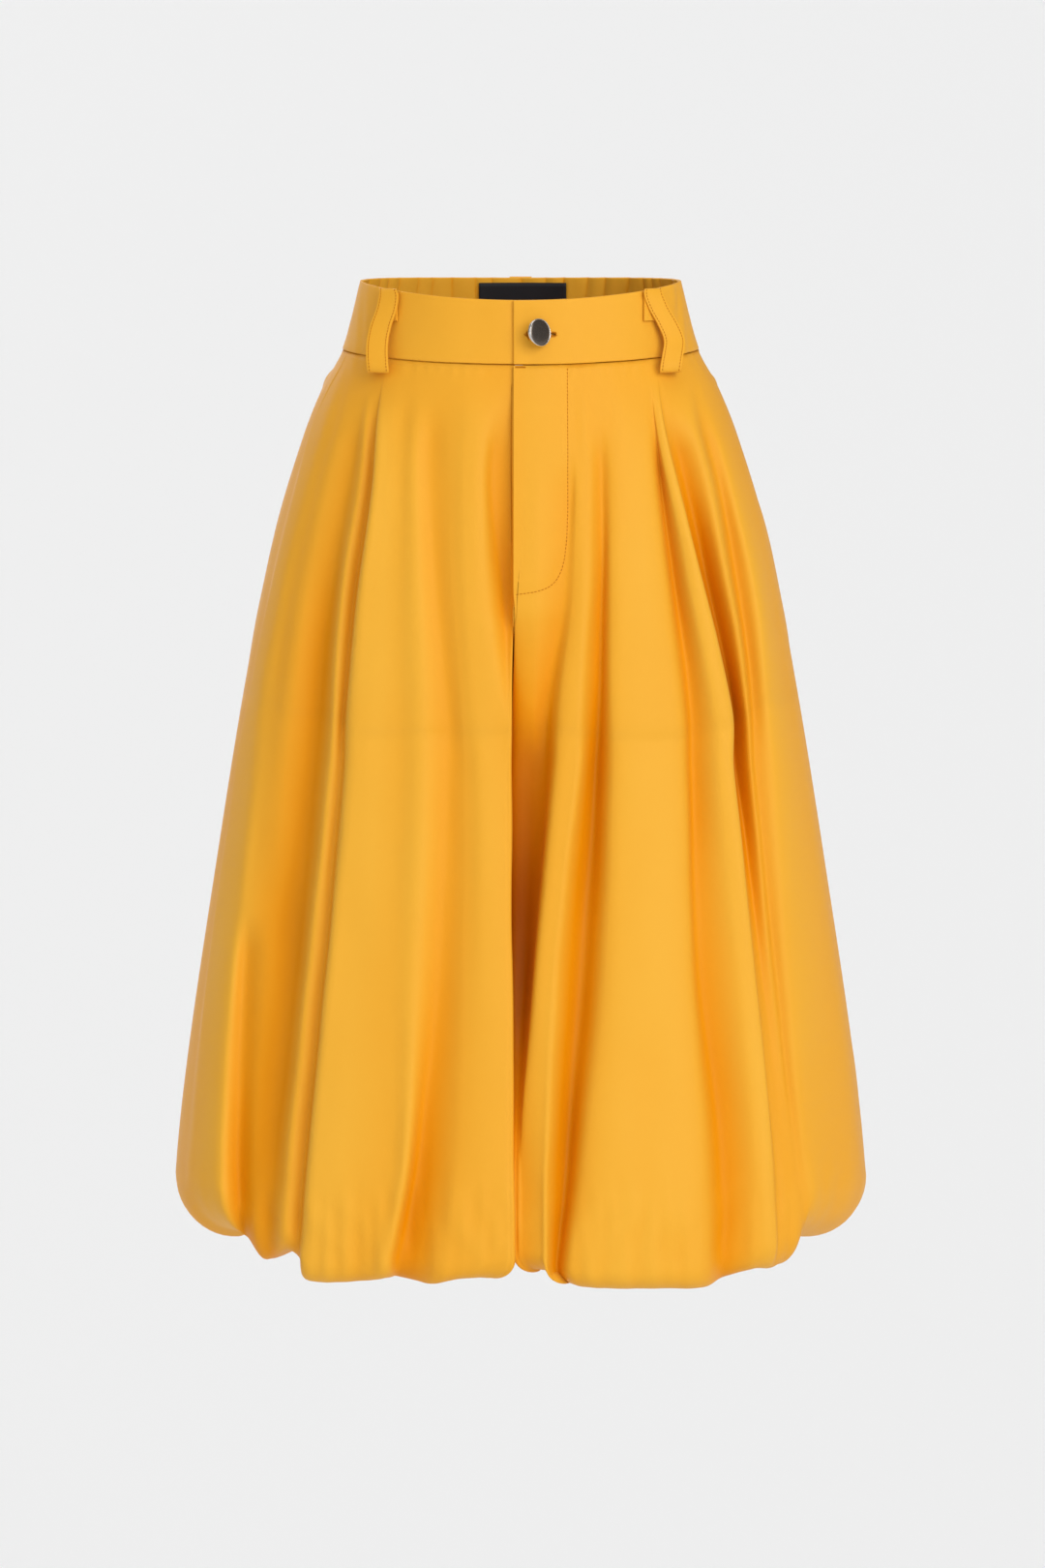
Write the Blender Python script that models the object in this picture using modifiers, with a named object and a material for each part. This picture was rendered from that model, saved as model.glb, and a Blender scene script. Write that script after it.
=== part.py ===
"""High-waisted wide-leg shorts with a bubble hem, filled out as if worn, hollow.

The front faces -Y and the wearer's left is +X. The origin is the middle of the
waistband, where the wearer holds the shorts up. The tables below are in
millimetres: "drop" runs down from the side of the waist edge, "across" runs out
from the centre front, and "out" is how far a fold stands off the plain body form.
"""

from bisect import bisect_right
from collections import namedtuple
from math import asin, cos, pi, radians, sin, sqrt

import bmesh
import bpy
from mathutils import Matrix, Vector

MM = 0.001
LEFT, RIGHT = 1, -1
FRONT, BACK = -1, 1

# Driving sizes, in millimetres.
ORIGIN_DROP = 25.0
BAND_HEIGHT = 49.0
FRONT_DIP = 8.5
BACK_DIP = 3.0
FRONT_SEAM_DIP = 4.5
CLOTH_WALL = 1.2
BAND_WALL = 2.4
SEAM_GAP = 0.5
WAIST_SEAM_GAP = 1.0
LAYER_GAP = 0.35
CENTRE_X = -4.5
SEAM_HALF_GAP = 0.85
LEG_HALF_GAP = 1.6
RISE_START = 240.0
RISE_END = 312.0
CENTRE_RECESS = 18.0
# Both inner leg walls bow towards the wearer's left, as one hangs against the other.
LEG_BOW = 12.0
BOW_START = 258.0
BOW_RUN = 72.0

# The fly: the wearer's left front laps over the right front.
FLY_BOTTOM = 212.0
FLY_EDGE_X = -5.0
UNDERLAP_X = 3.0
FLY_WIDTH = 37.0
PANEL_LAP = 1.15
BAND_LAP = 1.5
BAND_UNDERLAP_X = 32.0
LAP_FADE = 22.0
# Below the fly the edges cross over to meet at the seam, then the lap ends.
CROSS_RUN = 12.0
LAP_END_RUN = 14.0
FLY_FADE = 40.0

# The bubble hem: the panel rolls under and in, and up to the inner band.
ROLL_START = 650.0
ROLL_DEPTH = 60.0
ROLL_CENTRE_X = 60.0
ROLL_SHRINK = 0.24
RETURN_SHRINK = 0.08
ROLL_ANGLES = (32, 62, 90, 135, 180)
HEM_BAND_HEIGHT = 28.0

# Waistband steps, and the back elastic's gathers.
FRONT_BAND_STEPS = 14
GATHERS = 22
GATHER_STEPS = 4
GATHER_DEPTH = 0.9

LOOP_WIDTH = 15.0
LOOP_WALL = 1.6
LOOP_ACROSS = 95.0

# Layers behind the fly, each as how far its middle lies in from the panel's form.
FACING_IN = 2.0
ZIP_IN = 4.3
SHIELD_IN = 7.8
LAYER_WALL = 1.0
ZIP_X = -1.0
ZIP_WIDTH = 24.0
SHIELD_WIDTH = 40.0
SLIDER_WIDTH, SLIDER_HEIGHT, SLIDER_DEPTH = 8.0, 10.0, 3.4
TAB_WIDTH, TAB_LENGTH, TAB_WALL = 5.0, 16.0, 0.8
SLIDER_IN = 4.6
TAB_IN = 2.9
TAB_SHIFT = 5.0

# The button leans on its post; radii and heights are along its own axis.
BUTTON_TILT = 34.0
BUTTON_DROP = 31.0
BUTTON_FOOT_X = 7.5
BUTTON_RADIUS = 10.0
NECK_RADIUS = 1.8
NECK_LENGTH = 8.8
CAP_HEIGHT = 3.2
NECK_LIFT = 1.6
POST_RADIUS = 1.1
POST_LIFT = 0.2
POST_HOLE = 3.0
TACK_RADIUS = 4.5
TACK_WALL = 1.2
BUTTONHOLE_LENGTH = 22.0
BUTTONHOLE_HEIGHT = 4.6
BUTTONHOLE_SHIFT = 7.5

LABEL_WIDTH = 64.0
LABEL_HEIGHT = 30.0
LABEL_WALL = 0.9
LABEL_X = 1.5

Body = namedtuple("Body", "drop half_width front_depth back_depth squareness")
BODY = (
    Body(0, 114, 84, 84, 2.0),
    Body(49, 127, 92, 94, 2.05),
    Body(77, 142, 99, 103, 2.1),
    Body(112, 156, 107, 112, 2.15),
    Body(182, 177, 120, 125, 2.2),
    Body(287, 198, 133, 138, 2.25),
    Body(427, 221, 148, 150, 2.3),
    Body(567, 242, 164, 163, 2.35),
    Body(655, 251, 173, 170, 2.4),
    Body(720, 251, 173, 170, 2.4),
)

# The drops of the five places named in each fold's columns.
STATIONS = (52.0, 140.0, 300.0, 475.0, 700.0)
Places = namedtuple("Places", "seam hip crotch knee hem")
Fold = namedtuple("Fold", "name across out lift")

FRONT_LEFT = (
    Fold("centre recess", Places(5, 5, 2, 1, 2), Places(0, 0, -16, -12, -6), 15),
    Fold("inner corner crest", Places(15, 25, 28, 7, 10), Places(0, 0, 0, 0, 0), 8),
    Fold("trough beside the fly", Places(34, 36, 37, 18, 14), Places(-1, -4, -4, -1, -5), 1),
    Fold("low crest", Places(43, 47, 45, 29, 17), Places(0, 0, 0, 0, 0), 0),
    Fold("long trough", Places(51, 58, 54, 37, 20), Places(-2, -6, -12, -12, -6), 2),
    Fold("shoulder", Places(59, 65, 64, 53, 27), Places(0, -1, -2, -1, -1), 0),
    Fold("broad crest", Places(70, 74, 84, 87, 108), Places(0, 2, 3, 3, 2), -4),
    Fold("broad trough", Places(85, 97, 118, 126, 141), Places(-2, -6, -8, -8, -8), -4),
    Fold("main pleat crest", Places(96, 111, 142, 165, 181), Places(1, 5, 7, 5, 2), 5),
    Fold("main pleat recess", Places(101, 119, 148, 173, 188), Places(-3, -10, -10, -3, -4), 7),
    Fold("second crest", Places(112, 133, 157, 183, 199), Places(1, 3, 1, 2, 0), 9),
    Fold("second recess", Places(119, 142, 164, 191, 210), Places(-2, -4, -8, -4, -4), 16),
    Fold("side crest", Places(123, 150, 179, 207, 222), Places(0, 1, 2, 2, 0), 19),
)

# The folds that only start below the flat of the fly.
FLY_FOLDS = FRONT_LEFT[:2]

FRONT_RIGHT = (
    Fold("centre edge", Places(9, 10, 8, 5, 4), Places(0, 0, 0, 0, 0), 8),
    Fold("trough beside the fly", Places(14, 20, 14, 11, 12), Places(-1, -5, -3, 0, 0), 5),
    Fold("centre crest", Places(26, 34, 28, 26, 26), Places(0, 2, 3, 2, 0), 7),
    Fold("plain front", Places(47, 52, 44, 41, 59), Places(0, 0, 0, 0, 0), 3),
    Fold("faint trough", Places(64, 73, 60, 57, 92), Places(-1, -3, -5, -5, -7), 5),
    Fold("broad crest", Places(78, 84, 86, 98, 121), Places(0, 2, 3, 3, 2), 4),
    Fold("main pleat crest", Places(97, 105, 117, 134, 152), Places(0, 6, 7, 5, 3), 1),
    Fold("main pleat recess", Places(101, 110, 122, 141, 158), Places(-2, -10, -12, -9, -6), 14),
    Fold("second crest", Places(107, 116, 129, 149, 173), Places(0, 2, 2, 2, 1), 16),
    Fold("second trough", Places(113, 124, 139, 160, 192), Places(-2, -6, -12, -12, -10), 26),
    Fold("outer crest", Places(118, 137, 160, 186, 206), Places(0, 1, 3, 2, 0), 20),
    Fold("outer trough", Places(121, 148, 177, 210, 225), Places(-1, -3, -3, -3, -2), 20),
    Fold("side crease", Places(124, 156, 185, 218, 237), Places(0, 1, 2, 2, 0), 20),
)

BACK_LEFT = (
    Fold("seat seam trough", Places(7, 8, 6, 5, 8), Places(-3, -4, -3, -1, -2), 16),
    Fold("gather crest 1", Places(16, 20, 24, 26, 30), Places(3, 5, 4, 3, 2), 12),
    Fold("gather trough 1", Places(27, 32, 38, 47, 55), Places(-3, -7, -6, -4, -4), 15),
    Fold("gather crest 2", Places(38, 45, 56, 68, 80), Places(3, 6, 6, 5, 3), 12),
    Fold("gather trough 2", Places(49, 58, 73, 87, 99), Places(-3, -6, -9, -10, -8), 18),
    Fold("gather crest 3", Places(60, 72, 89, 104, 116), Places(3, 4, 4, 5, 4), 12),
    Fold("gather trough 3", Places(71, 86, 104, 121, 134), Places(-3, -7, -5, -3, -3), 15),
    Fold("gather crest 4", Places(82, 99, 119, 138, 152), Places(3, 6, 7, 5, 3), 12),
    Fold("gather trough 4", Places(92, 111, 133, 154, 170), Places(-3, -5, -7, -10, -8), 19),
    Fold("gather crest 5", Places(101, 122, 147, 170, 187), Places(3, 4, 3, 4, 3), 14),
    Fold("gather trough 5", Places(109, 133, 160, 186, 204), Places(-3, -6, -6, -4, -4), 17),
    Fold("gather crest 6", Places(117, 143, 172, 200, 219), Places(2, 4, 4, 3, 2), 15),
    Fold("side trough", Places(122, 152, 184, 212, 232), Places(-2, -3, -4, -4, -3), 19),
)

BACK_RIGHT = (
    Fold("seat seam trough", Places(8, 9, 7, 6, 9), Places(-3, -4, -3, -1, -2), 16),
    Fold("gather crest 1", Places(18, 23, 28, 34, 40), Places(3, 6, 6, 4, 3), 12),
    Fold("gather trough 1", Places(29, 36, 44, 53, 62), Places(-3, -6, -9, -9, -7), 18),
    Fold("gather crest 2", Places(39, 48, 58, 69, 79), Places(3, 4, 4, 4, 3), 12),
    Fold("gather trough 2", Places(50, 61, 73, 86, 97), Places(-3, -7, -5, -3, -3), 15),
    Fold("gather crest 3", Places(62, 75, 89, 104, 117), Places(3, 6, 6, 6, 4), 12),
    Fold("gather trough 3", Places(73, 88, 105, 122, 136), Places(-3, -6, -11, -11, -8), 19),
    Fold("gather crest 4", Places(83, 99, 119, 139, 153), Places(3, 5, 4, 4, 3), 12),
    Fold("gather trough 4", Places(92, 110, 133, 155, 171), Places(-3, -7, -6, -4, -4), 15),
    Fold("gather crest 5", Places(101, 121, 146, 171, 188), Places(3, 5, 6, 5, 3), 14),
    Fold("gather trough 5", Places(109, 131, 159, 186, 205), Places(-3, -6, -8, -8, -6), 18),
    Fold("gather crest 6", Places(117, 142, 172, 200, 220), Places(2, 4, 3, 3, 2), 15),
    Fold("side trough", Places(122, 152, 184, 212, 232), Places(-2, -3, -4, -3, -3), 19),
)

# The rows of points down a panel, under the waist seam.
PANEL_DROPS = (70, 105, 155, 200, 213, 225, 239, 262, 286, 304, 312,
               350, 410, 475, 560, 650)
SIDE_SHARES = (0.97, 0.993, 1.0)
WALL_SHARES = (1 / 3, 2 / 3)
FLY_STEPS = 8
FLY_SHARES = (0.0, 0.25, 0.5, 0.75, 1.0)
J_CUT = 0.86


def remove_all():
    """Start from an empty scene."""
    for thing in list(bpy.data.objects):
        bpy.data.objects.remove(thing, do_unlink=True)


def collection(name):
    """Return a new collection under the scene."""
    made = bpy.data.collections.new(name)
    bpy.context.scene.collection.children.link(made)
    return made


def material(name, colour, roughness, metallic):
    """Return a Principled material."""
    made = bpy.data.materials.new(name)
    made.use_nodes = True
    shader = made.node_tree.nodes["Principled BSDF"]
    shader.inputs["Base Color"].default_value = (*colour, 1.0)
    shader.inputs["Roughness"].default_value = roughness
    shader.inputs["Metallic"].default_value = metallic
    made.diffuse_color = (*colour, 1.0)
    return made


def ease(value):
    """Rise smoothly from 0 to 1."""
    share = min(max(value, 0.0), 1.0)
    return share * share * (3.0 - 2.0 * share)


def slope(places, values, index):
    """Slope of a table at one of its rows, from its two neighbours."""
    low = max(index - 1, 0)
    high = min(index + 1, len(places) - 1)
    return (values[high] - values[low]) / (places[high] - places[low])


def smooth(places, values, at):
    """Read a table between its rows along a smooth curve."""
    index = min(max(bisect_right(places, at) - 1, 0), len(places) - 2)
    span = places[index + 1] - places[index]
    share = min(max((at - places[index]) / span, 0.0), 1.0)
    start = slope(places, values, index) * span
    end = slope(places, values, index + 1) * span
    rise = values[index + 1] - values[index]
    return (values[index] + share * (start + share * (3 * rise - 2 * start - end
            + share * (start + end - 2 * rise))))


BODY_DROPS = tuple(row.drop for row in BODY)
BODY_COLUMNS = {name: tuple(getattr(row, name) for row in BODY) for name in Body._fields}


def body(drop):
    """Half width, front depth, back depth and squareness of the plain form at a drop."""
    return Body(drop, *(smooth(BODY_DROPS, BODY_COLUMNS[name], drop) for name in Body._fields[1:]))


def form(across, drop, facing):
    """Point and outward direction of the plain form, at a distance from the centre."""
    size = body(drop)
    depth = size.front_depth if facing == FRONT else size.back_depth
    power = size.squareness
    share = min(abs(across) / size.half_width, 1.0)
    reach = (1.0 - share ** power) ** (1.0 / power)
    side = 1.0 if across >= 0 else -1.0
    point = Vector((side * share * size.half_width, facing * reach * depth, -drop))
    normal = Vector((side * share ** (power - 1) / size.half_width,
                     facing * reach ** (power - 1) / depth, 0.0))
    return point, normal.normalized()


def wall_normal(across, drop, facing):
    """Outward direction of the flaring wall, square to its slope as well."""
    _, level = form(across, drop, facing)
    higher, _ = form(across, drop - 1.0, facing)
    lower, _ = form(across, drop + 1.0, facing)
    along = Vector((0, 0, 1)).cross(level)
    return along.cross(higher - lower).normalized()


def seam_drop(share, facing):
    """Drop of the waist seam at a share of the half width; it dips at the front."""
    dip = FRONT_SEAM_DIP if facing == FRONT else 0.0
    return BAND_HEIGHT + dip * (1.0 - share * share)


def rim_drop(share, facing):
    """Drop of the waist's top edge, which dips at the front and a little at the back."""
    dip = FRONT_DIP if facing == FRONT else BACK_DIP
    return dip * (1.0 - share * share)


def panel_lap(across, drop, side):
    """How far a front stands off where the left front laps over the right front."""
    start = FLY_WIDTH / 2
    fade = 1.0 - ease((abs(across) - start) / LAP_FADE)
    end = 1.0 - ease((drop - FLY_BOTTOM - CROSS_RUN) / LAP_END_RUN)
    return side * PANEL_LAP * fade * end


def inner_edge(drop, side, facing):
    """A panel's inner edge: centre seam, then the rise's curve, then the inseam."""
    size = body(drop)
    depth = size.front_depth if facing == FRONT else size.back_depth
    recess = CENTRE_RECESS if facing == FRONT else 0.0
    depth -= recess * ease((drop - FLY_BOTTOM - CROSS_RUN) / FLY_FADE)
    turn = min(max((drop - RISE_START) / (RISE_END - RISE_START), 0.0), 1.0)
    depth *= sqrt(1.0 - turn * turn)
    half_gap = SEAM_HALF_GAP if drop <= RISE_END else LEG_HALF_GAP
    x = CENTRE_X + side * half_gap + LEG_BOW * ease((drop - BOW_START) / BOW_RUN)
    if facing == FRONT:
        lapped = FLY_EDGE_X if side == LEFT else UNDERLAP_X
        x += (lapped - x) * (1.0 - ease((drop - FLY_BOTTOM) / CROSS_RUN))
        depth += panel_lap(0.0, drop, side)
    return Vector((x, facing * max(depth, SEAM_GAP / 2), -drop))


def fold_point(fold, drop, side, facing, flat=False):
    """A point of one fold line at a drop."""
    across = smooth(STATIONS, fold.across, drop)
    point, normal = form(side * across, drop, facing)
    if flat:
        return point
    out = smooth(STATIONS, fold.out, drop)
    if facing == FRONT:
        if fold in FLY_FOLDS:
            out *= ease((drop - FLY_BOTTOM) / FLY_FADE)
        out += panel_lap(across, drop, side)
    return point + normal * out


def section(folds, drop, side, facing, flat=False, at_seam=False):
    """One row of points across a panel, from its inner edge to its side seam."""
    def level(across):
        share = across / body(BAND_HEIGHT).half_width
        return seam_drop(min(share, 1.0), facing) + WAIST_SEAM_GAP if at_seam else drop

    edge = inner_edge(level(0.0), side, facing)
    ridge = [fold_point(fold, level(smooth(STATIONS, fold.across, drop)), side, facing, flat)
             for fold in folds]
    wall = [edge.lerp(ridge[0], share) for share in WALL_SHARES]
    around = []
    for share in SIDE_SHARES:
        across = share * body(drop).half_width
        point, _ = form(side * across, level(across), facing)
        point.y += facing * SEAM_GAP / 2
        around.append(point)
    return [edge, *wall, *ridge, *around]


def roll_row(folds, angle, side, facing, flat=False):
    """One row of the bubble hem, which rolls under and in by an angle in degrees."""
    turn = radians(angle)
    bottom = ROLL_START + ROLL_DEPTH * (sin(turn) if angle < 90 else 1.0)
    shrink = ROLL_SHRINK * (1.0 - cos(turn)) if angle < 90 else (
        ROLL_SHRINK - RETURN_SHRINK * cos(turn))
    keep = 1.0 - shrink
    smoothing = ease((angle - 90) / 90)
    lifts = [0.0] * (1 + len(WALL_SHARES)) + [fold.lift for fold in folds]
    lifts += [folds[-1].lift] * len(SIDE_SHARES)
    pivot_x = CENTRE_X + side * ROLL_CENTRE_X
    row = []
    folded = section(folds, bottom, side, facing, flat)
    plain = section(folds, bottom, side, facing, True)
    for point, even, lift in zip(folded, plain, lifts):
        mixed = point.lerp(even, smoothing)
        drop = ROLL_START + (ROLL_DEPTH - lift) * sin(turn)
        row.append(Vector((pivot_x + (mixed.x - pivot_x) * keep, mixed.y * keep, -drop)))
        if abs(mixed.y) < SEAM_GAP:
            row[-1].y = mixed.y
    return row


def grid_object(name, rows, thickness, finish, home, closed=False):
    """A cloth wall: a grid moved onto rows of points, then thickened both ways."""
    count_down = len(rows) - 1
    count_across = len(rows[0]) - 1
    mesh = bmesh.new()
    bmesh.ops.create_grid(mesh, x_segments=count_across, y_segments=count_down, size=1.0)
    for vertex in mesh.verts:
        column = round((vertex.co.x + 1) / 2 * count_across)
        row = round((vertex.co.y + 1) / 2 * count_down)
        point = rows[row][column]
        vertex.co = (point.x * MM, point.y * MM, (point.z + ORIGIN_DROP) * MM)
    if closed:
        bmesh.ops.remove_doubles(mesh, verts=mesh.verts, dist=0.00001)
    data = bpy.data.meshes.new(name)
    mesh.to_mesh(data)
    mesh.free()
    data.materials.append(finish)
    thing = bpy.data.objects.new(name, data)
    home.objects.link(thing)
    wall = thing.modifiers.new("Wall", "SOLIDIFY")
    wall.thickness = thickness * MM
    wall.offset = 0.0
    return thing


def panel(name, folds, side, facing, finish, home):
    """One cut panel of a leg, from the waist seam to the end of the hem's roll."""
    rows = [section(folds, STATIONS[0], side, facing, at_seam=True)]
    rows += [section(folds, drop, side, facing) for drop in PANEL_DROPS]
    rows += [roll_row(folds, angle, side, facing) for angle in ROLL_ANGLES]
    return grid_object(name, rows, CLOTH_WALL, finish, home)


def hem_band(name, front_folds, back_folds, side, finish, home):
    """The plain inner band that a leg's hem is gathered onto."""
    front = roll_row(front_folds, 180, side, FRONT, flat=True)
    back = roll_row(back_folds, 180, side, BACK, flat=True)
    ring = front[:-1] + list(reversed(back[1:-1])) + [front[0]]
    rows = []
    for drop in (ROLL_START - SEAM_GAP - HEM_BAND_HEIGHT, ROLL_START - SEAM_GAP):
        rows.append([Vector((point.x, point.y, -drop)) for point in ring])
    return grid_object(name, rows, CLOTH_WALL, finish, home, closed=True)


def band_point(turn, share, facing, out):
    """A point of the waistband: turn is the angle round from the centre, in radians."""
    reach = abs(sin(turn))
    drop = rim_drop(reach, facing) * (1 - share) + seam_drop(reach, facing) * share
    point, normal = form(body(drop).half_width * sin(turn), drop, facing)
    return point + normal * out


def front_band(name, side, edge_x, finish, home):
    """Half of the shaped front waistband, from its end at the fly to the side seam."""
    rows = []
    for share in (0.0, 0.25, 0.5, 0.75, 1.0):
        start = side * asin(edge_x / body(BAND_HEIGHT * share).half_width)
        row = []
        for step in range(FRONT_BAND_STEPS + 1):
            turn = start + (pi / 2 - start) * step / FRONT_BAND_STEPS
            reach = abs(body(0.0).half_width * sin(turn))
            lap = side * BAND_LAP * (1.0 - ease((reach - BAND_UNDERLAP_X) / LAP_FADE))
            point = band_point(side * turn, share, FRONT, lap)
            point.y -= SEAM_GAP / 2 * ease(step - FRONT_BAND_STEPS + 1)
            row.append(point)
        rows.append(row)
    return grid_object(name, rows, BAND_WALL, finish, home)


def back_band(name, finish, home):
    """The back waistband, drawn up on elastic into small even gathers."""
    rows = []
    steps = GATHERS * GATHER_STEPS
    for share in (0.0, 1.0):
        row = []
        for step in range(steps + 1):
            turn = -pi / 2 + pi * step / steps
            fade = max(sin(pi * step / steps), 0.0) ** 0.3
            ripple = GATHER_DEPTH * sin(2 * pi * GATHERS * step / steps) * fade
            point = band_point(turn, share, BACK, ripple)
            point.y += SEAM_GAP / 2 * (1.0 if step in (0, steps) else 0.0)
            row.append(point)
        rows.append(row)
    return grid_object(name, rows, BAND_WALL, finish, home)


LoopRow = namedtuple("LoopRow", "out drop")
# A belt loop's strip, from its turned top tab, over the top and down to its foot.
LOOP_PATH = (
    LoopRow(2.7, 22), LoopRow(2.6, 12), LoopRow(2.6, 3), LoopRow(3.0, 0.9), LoopRow(3.8, 0.2),
    LoopRow(4.6, 1.1), LoopRow(5.0, 4), LoopRow(5.7, 14), LoopRow(8.0, 26), LoopRow(10.6, 38),
    LoopRow(12.0, 48), LoopRow(11.4, 57), LoopRow(8.6, 62.5), LoopRow(5.4, 62.8), LoopRow(4.2, 60.0),
)


def belt_loop(name, across, facing, finish, home):
    """A strip that stands off the waistband, sewn at the rim and under the seam."""
    share = across / body(0.0).half_width
    top = rim_drop(share, facing)
    _, normal = form(across, BAND_HEIGHT / 2, facing)
    tangent = Vector((-normal.y, normal.x, 0.0))
    gathered = GATHER_DEPTH if facing == BACK else 0.0
    rows = []
    for place in LOOP_PATH:
        drop = top + place.drop
        point, _ = form(share * body(drop).half_width, drop, facing)
        middle = point + normal * (place.out + gathered)
        rows.append([middle + tangent * (LOOP_WIDTH * step) for step in (-0.5, 0.0, 0.5)])
    return grid_object(name, rows, LOOP_WALL, finish, home)


def front_out(x, drop):
    """How far the front's folds stand off the plain form at a place near the fly."""
    folds = FRONT_LEFT if x >= 0 else FRONT_RIGHT
    places = [0.0] + [smooth(STATIONS, fold.across, drop) for fold in folds]
    outs = [0.0] + [smooth(STATIONS, fold.out, drop) for fold in folds]
    index = min(bisect_right(places, abs(x)) - 1, len(places) - 2)
    share = (abs(x) - places[index]) / (places[index + 1] - places[index])
    return outs[index] + (outs[index + 1] - outs[index]) * share


def fly_layer(name, low_x, high_x, bottom, inset, finish, home, lower=0.0, curved=False):
    """A strip behind the fly; a curved one ends in the J of the topstitching."""
    top = seam_drop(0.0, FRONT) + WAIST_SEAM_GAP + lower
    width = high_x - low_x
    rows = []
    for step in range(FLY_STEPS + 1):
        drop = top + (bottom - top) * step / FLY_STEPS
        into_bend = max(drop - (bottom - width), 0.0) / width if curved else 0.0
        reach = width * (1.0 - J_CUT * (1.0 - sqrt(max(1.0 - into_bend ** 2, 0.0))))
        row = []
        for share in FLY_SHARES:
            x = low_x + reach * share
            point, normal = form(x, drop, FRONT)
            row.append(point + normal * (front_out(x, drop) - inset))
        rows.append(row)
    return grid_object(name, rows, LAYER_WALL, finish, home)


def zip_slider(name, finish, home, cutters):
    """The closed zip's slider, with its pull tab lying down over the tape."""
    drop = seam_drop(0.0, FRONT) + WAIST_SEAM_GAP + SLIDER_HEIGHT / 2
    point, normal = form(ZIP_X, drop, FRONT)
    size = (SLIDER_WIDTH, SLIDER_HEIGHT, SLIDER_DEPTH)
    slope = wall_normal(ZIP_X, drop, FRONT)
    slider = box(name, point - normal * SLIDER_IN, slope, size, home)
    slider.data.materials.append(finish)
    down = drop + TAB_SHIFT
    low_point, _ = form(ZIP_X, down, FRONT)
    size = (TAB_WIDTH, TAB_LENGTH, TAB_WALL)
    tab = box("tab_cutter", low_point - normal * TAB_IN, wall_normal(ZIP_X, down, FRONT), size, cutters)
    join(slider, tab, "UNION")
    return slider


def label(name, finish, home):
    """A bare woven label inside the back waistband."""
    inset = -(BAND_WALL / 2 + GATHER_DEPTH + LAYER_GAP + LABEL_WALL / 2)
    rows = []
    for down in (0.0, 0.5, 1.0):
        row = []
        for step in range(9):
            across = LABEL_X + LABEL_WIDTH * (step / 8 - 0.5)
            drop = BACK_DIP + 3.5 + LABEL_HEIGHT * down
            point, normal = form(across, drop, BACK)
            row.append(point + normal * inset)
        rows.append(row)
    return grid_object(name, rows, LABEL_WALL, finish, home)


BUTTON_PROFILE = (
    (0.0, NECK_LENGTH + CAP_HEIGHT),
    (BUTTON_RADIUS * 0.55, NECK_LENGTH + CAP_HEIGHT - 0.15),
    (BUTTON_RADIUS * 0.86, NECK_LENGTH + CAP_HEIGHT - 0.6),
    (BUTTON_RADIUS * 0.97, NECK_LENGTH + CAP_HEIGHT - 1.1),
    (BUTTON_RADIUS, NECK_LENGTH + CAP_HEIGHT - 1.7),
    (BUTTON_RADIUS, NECK_LENGTH + 0.5),
    (BUTTON_RADIUS * 0.95, NECK_LENGTH),
    (NECK_RADIUS * 1.8, NECK_LENGTH),
    (NECK_RADIUS, NECK_LENGTH - 1.4),
    (NECK_RADIUS, 0.0),
    (0.0, 0.0),
)
TACK_TOP = -(BAND_WALL + SEAM_GAP)
TACK_PROFILE = (
    (0.0, POST_LIFT),
    (POST_RADIUS, POST_LIFT),
    (POST_RADIUS, TACK_TOP),
    (TACK_RADIUS, TACK_TOP),
    (TACK_RADIUS, TACK_TOP - 0.6 * TACK_WALL),
    (TACK_RADIUS * 0.85, TACK_TOP - TACK_WALL),
    (0.0, TACK_TOP - TACK_WALL),
)


def turned(name, profile, steps, finish, home):
    """A turned solid: its profile at +X runs down the outer side, about local Z."""
    data = bpy.data.meshes.new(name)
    points = [(radius * MM, 0.0, height * MM) for radius, height in profile]
    data.from_pydata(points, [(step, step + 1) for step in range(len(points) - 1)], [])
    data.materials.append(finish)
    thing = bpy.data.objects.new(name, data)
    home.objects.link(thing)
    spin = thing.modifiers.new("Turn", "SCREW")
    spin.axis = "Z"
    spin.steps = steps
    spin.render_steps = steps
    spin.use_merge_vertices = True
    spin.merge_threshold = 0.00005
    return thing


def aim(thing, place, direction):
    """Move an object to a place, with its local Z along a direction."""
    z_axis = direction.normalized()
    x_axis = Vector((0, 0, 1)).cross(z_axis).normalized()
    y_axis = z_axis.cross(x_axis)
    turn = Matrix((x_axis, y_axis, z_axis)).transposed().to_4x4()
    where = Vector((place.x, place.y, place.z + ORIGIN_DROP)) * MM
    thing.matrix_world = Matrix.Translation(where) @ turn


def box(name, place, direction, size, home):
    """A box with its local Z along a direction."""
    mesh = bmesh.new()
    bmesh.ops.create_cube(mesh, size=1.0)
    bmesh.ops.scale(mesh, vec=Vector(size) * MM, verts=mesh.verts)
    data = bpy.data.meshes.new(name)
    mesh.to_mesh(data)
    mesh.free()
    thing = bpy.data.objects.new(name, data)
    home.objects.link(thing)
    aim(thing, place, direction)
    return thing


def join(thing, other, how):
    """Cut one solid by another, or join it on."""
    other.hide_render = True
    other.display_type = "WIRE"
    change = thing.modifiers.new("Shape", "BOOLEAN")
    change.operation = how
    change.object = other
    change.solver = "EXACT"


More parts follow.
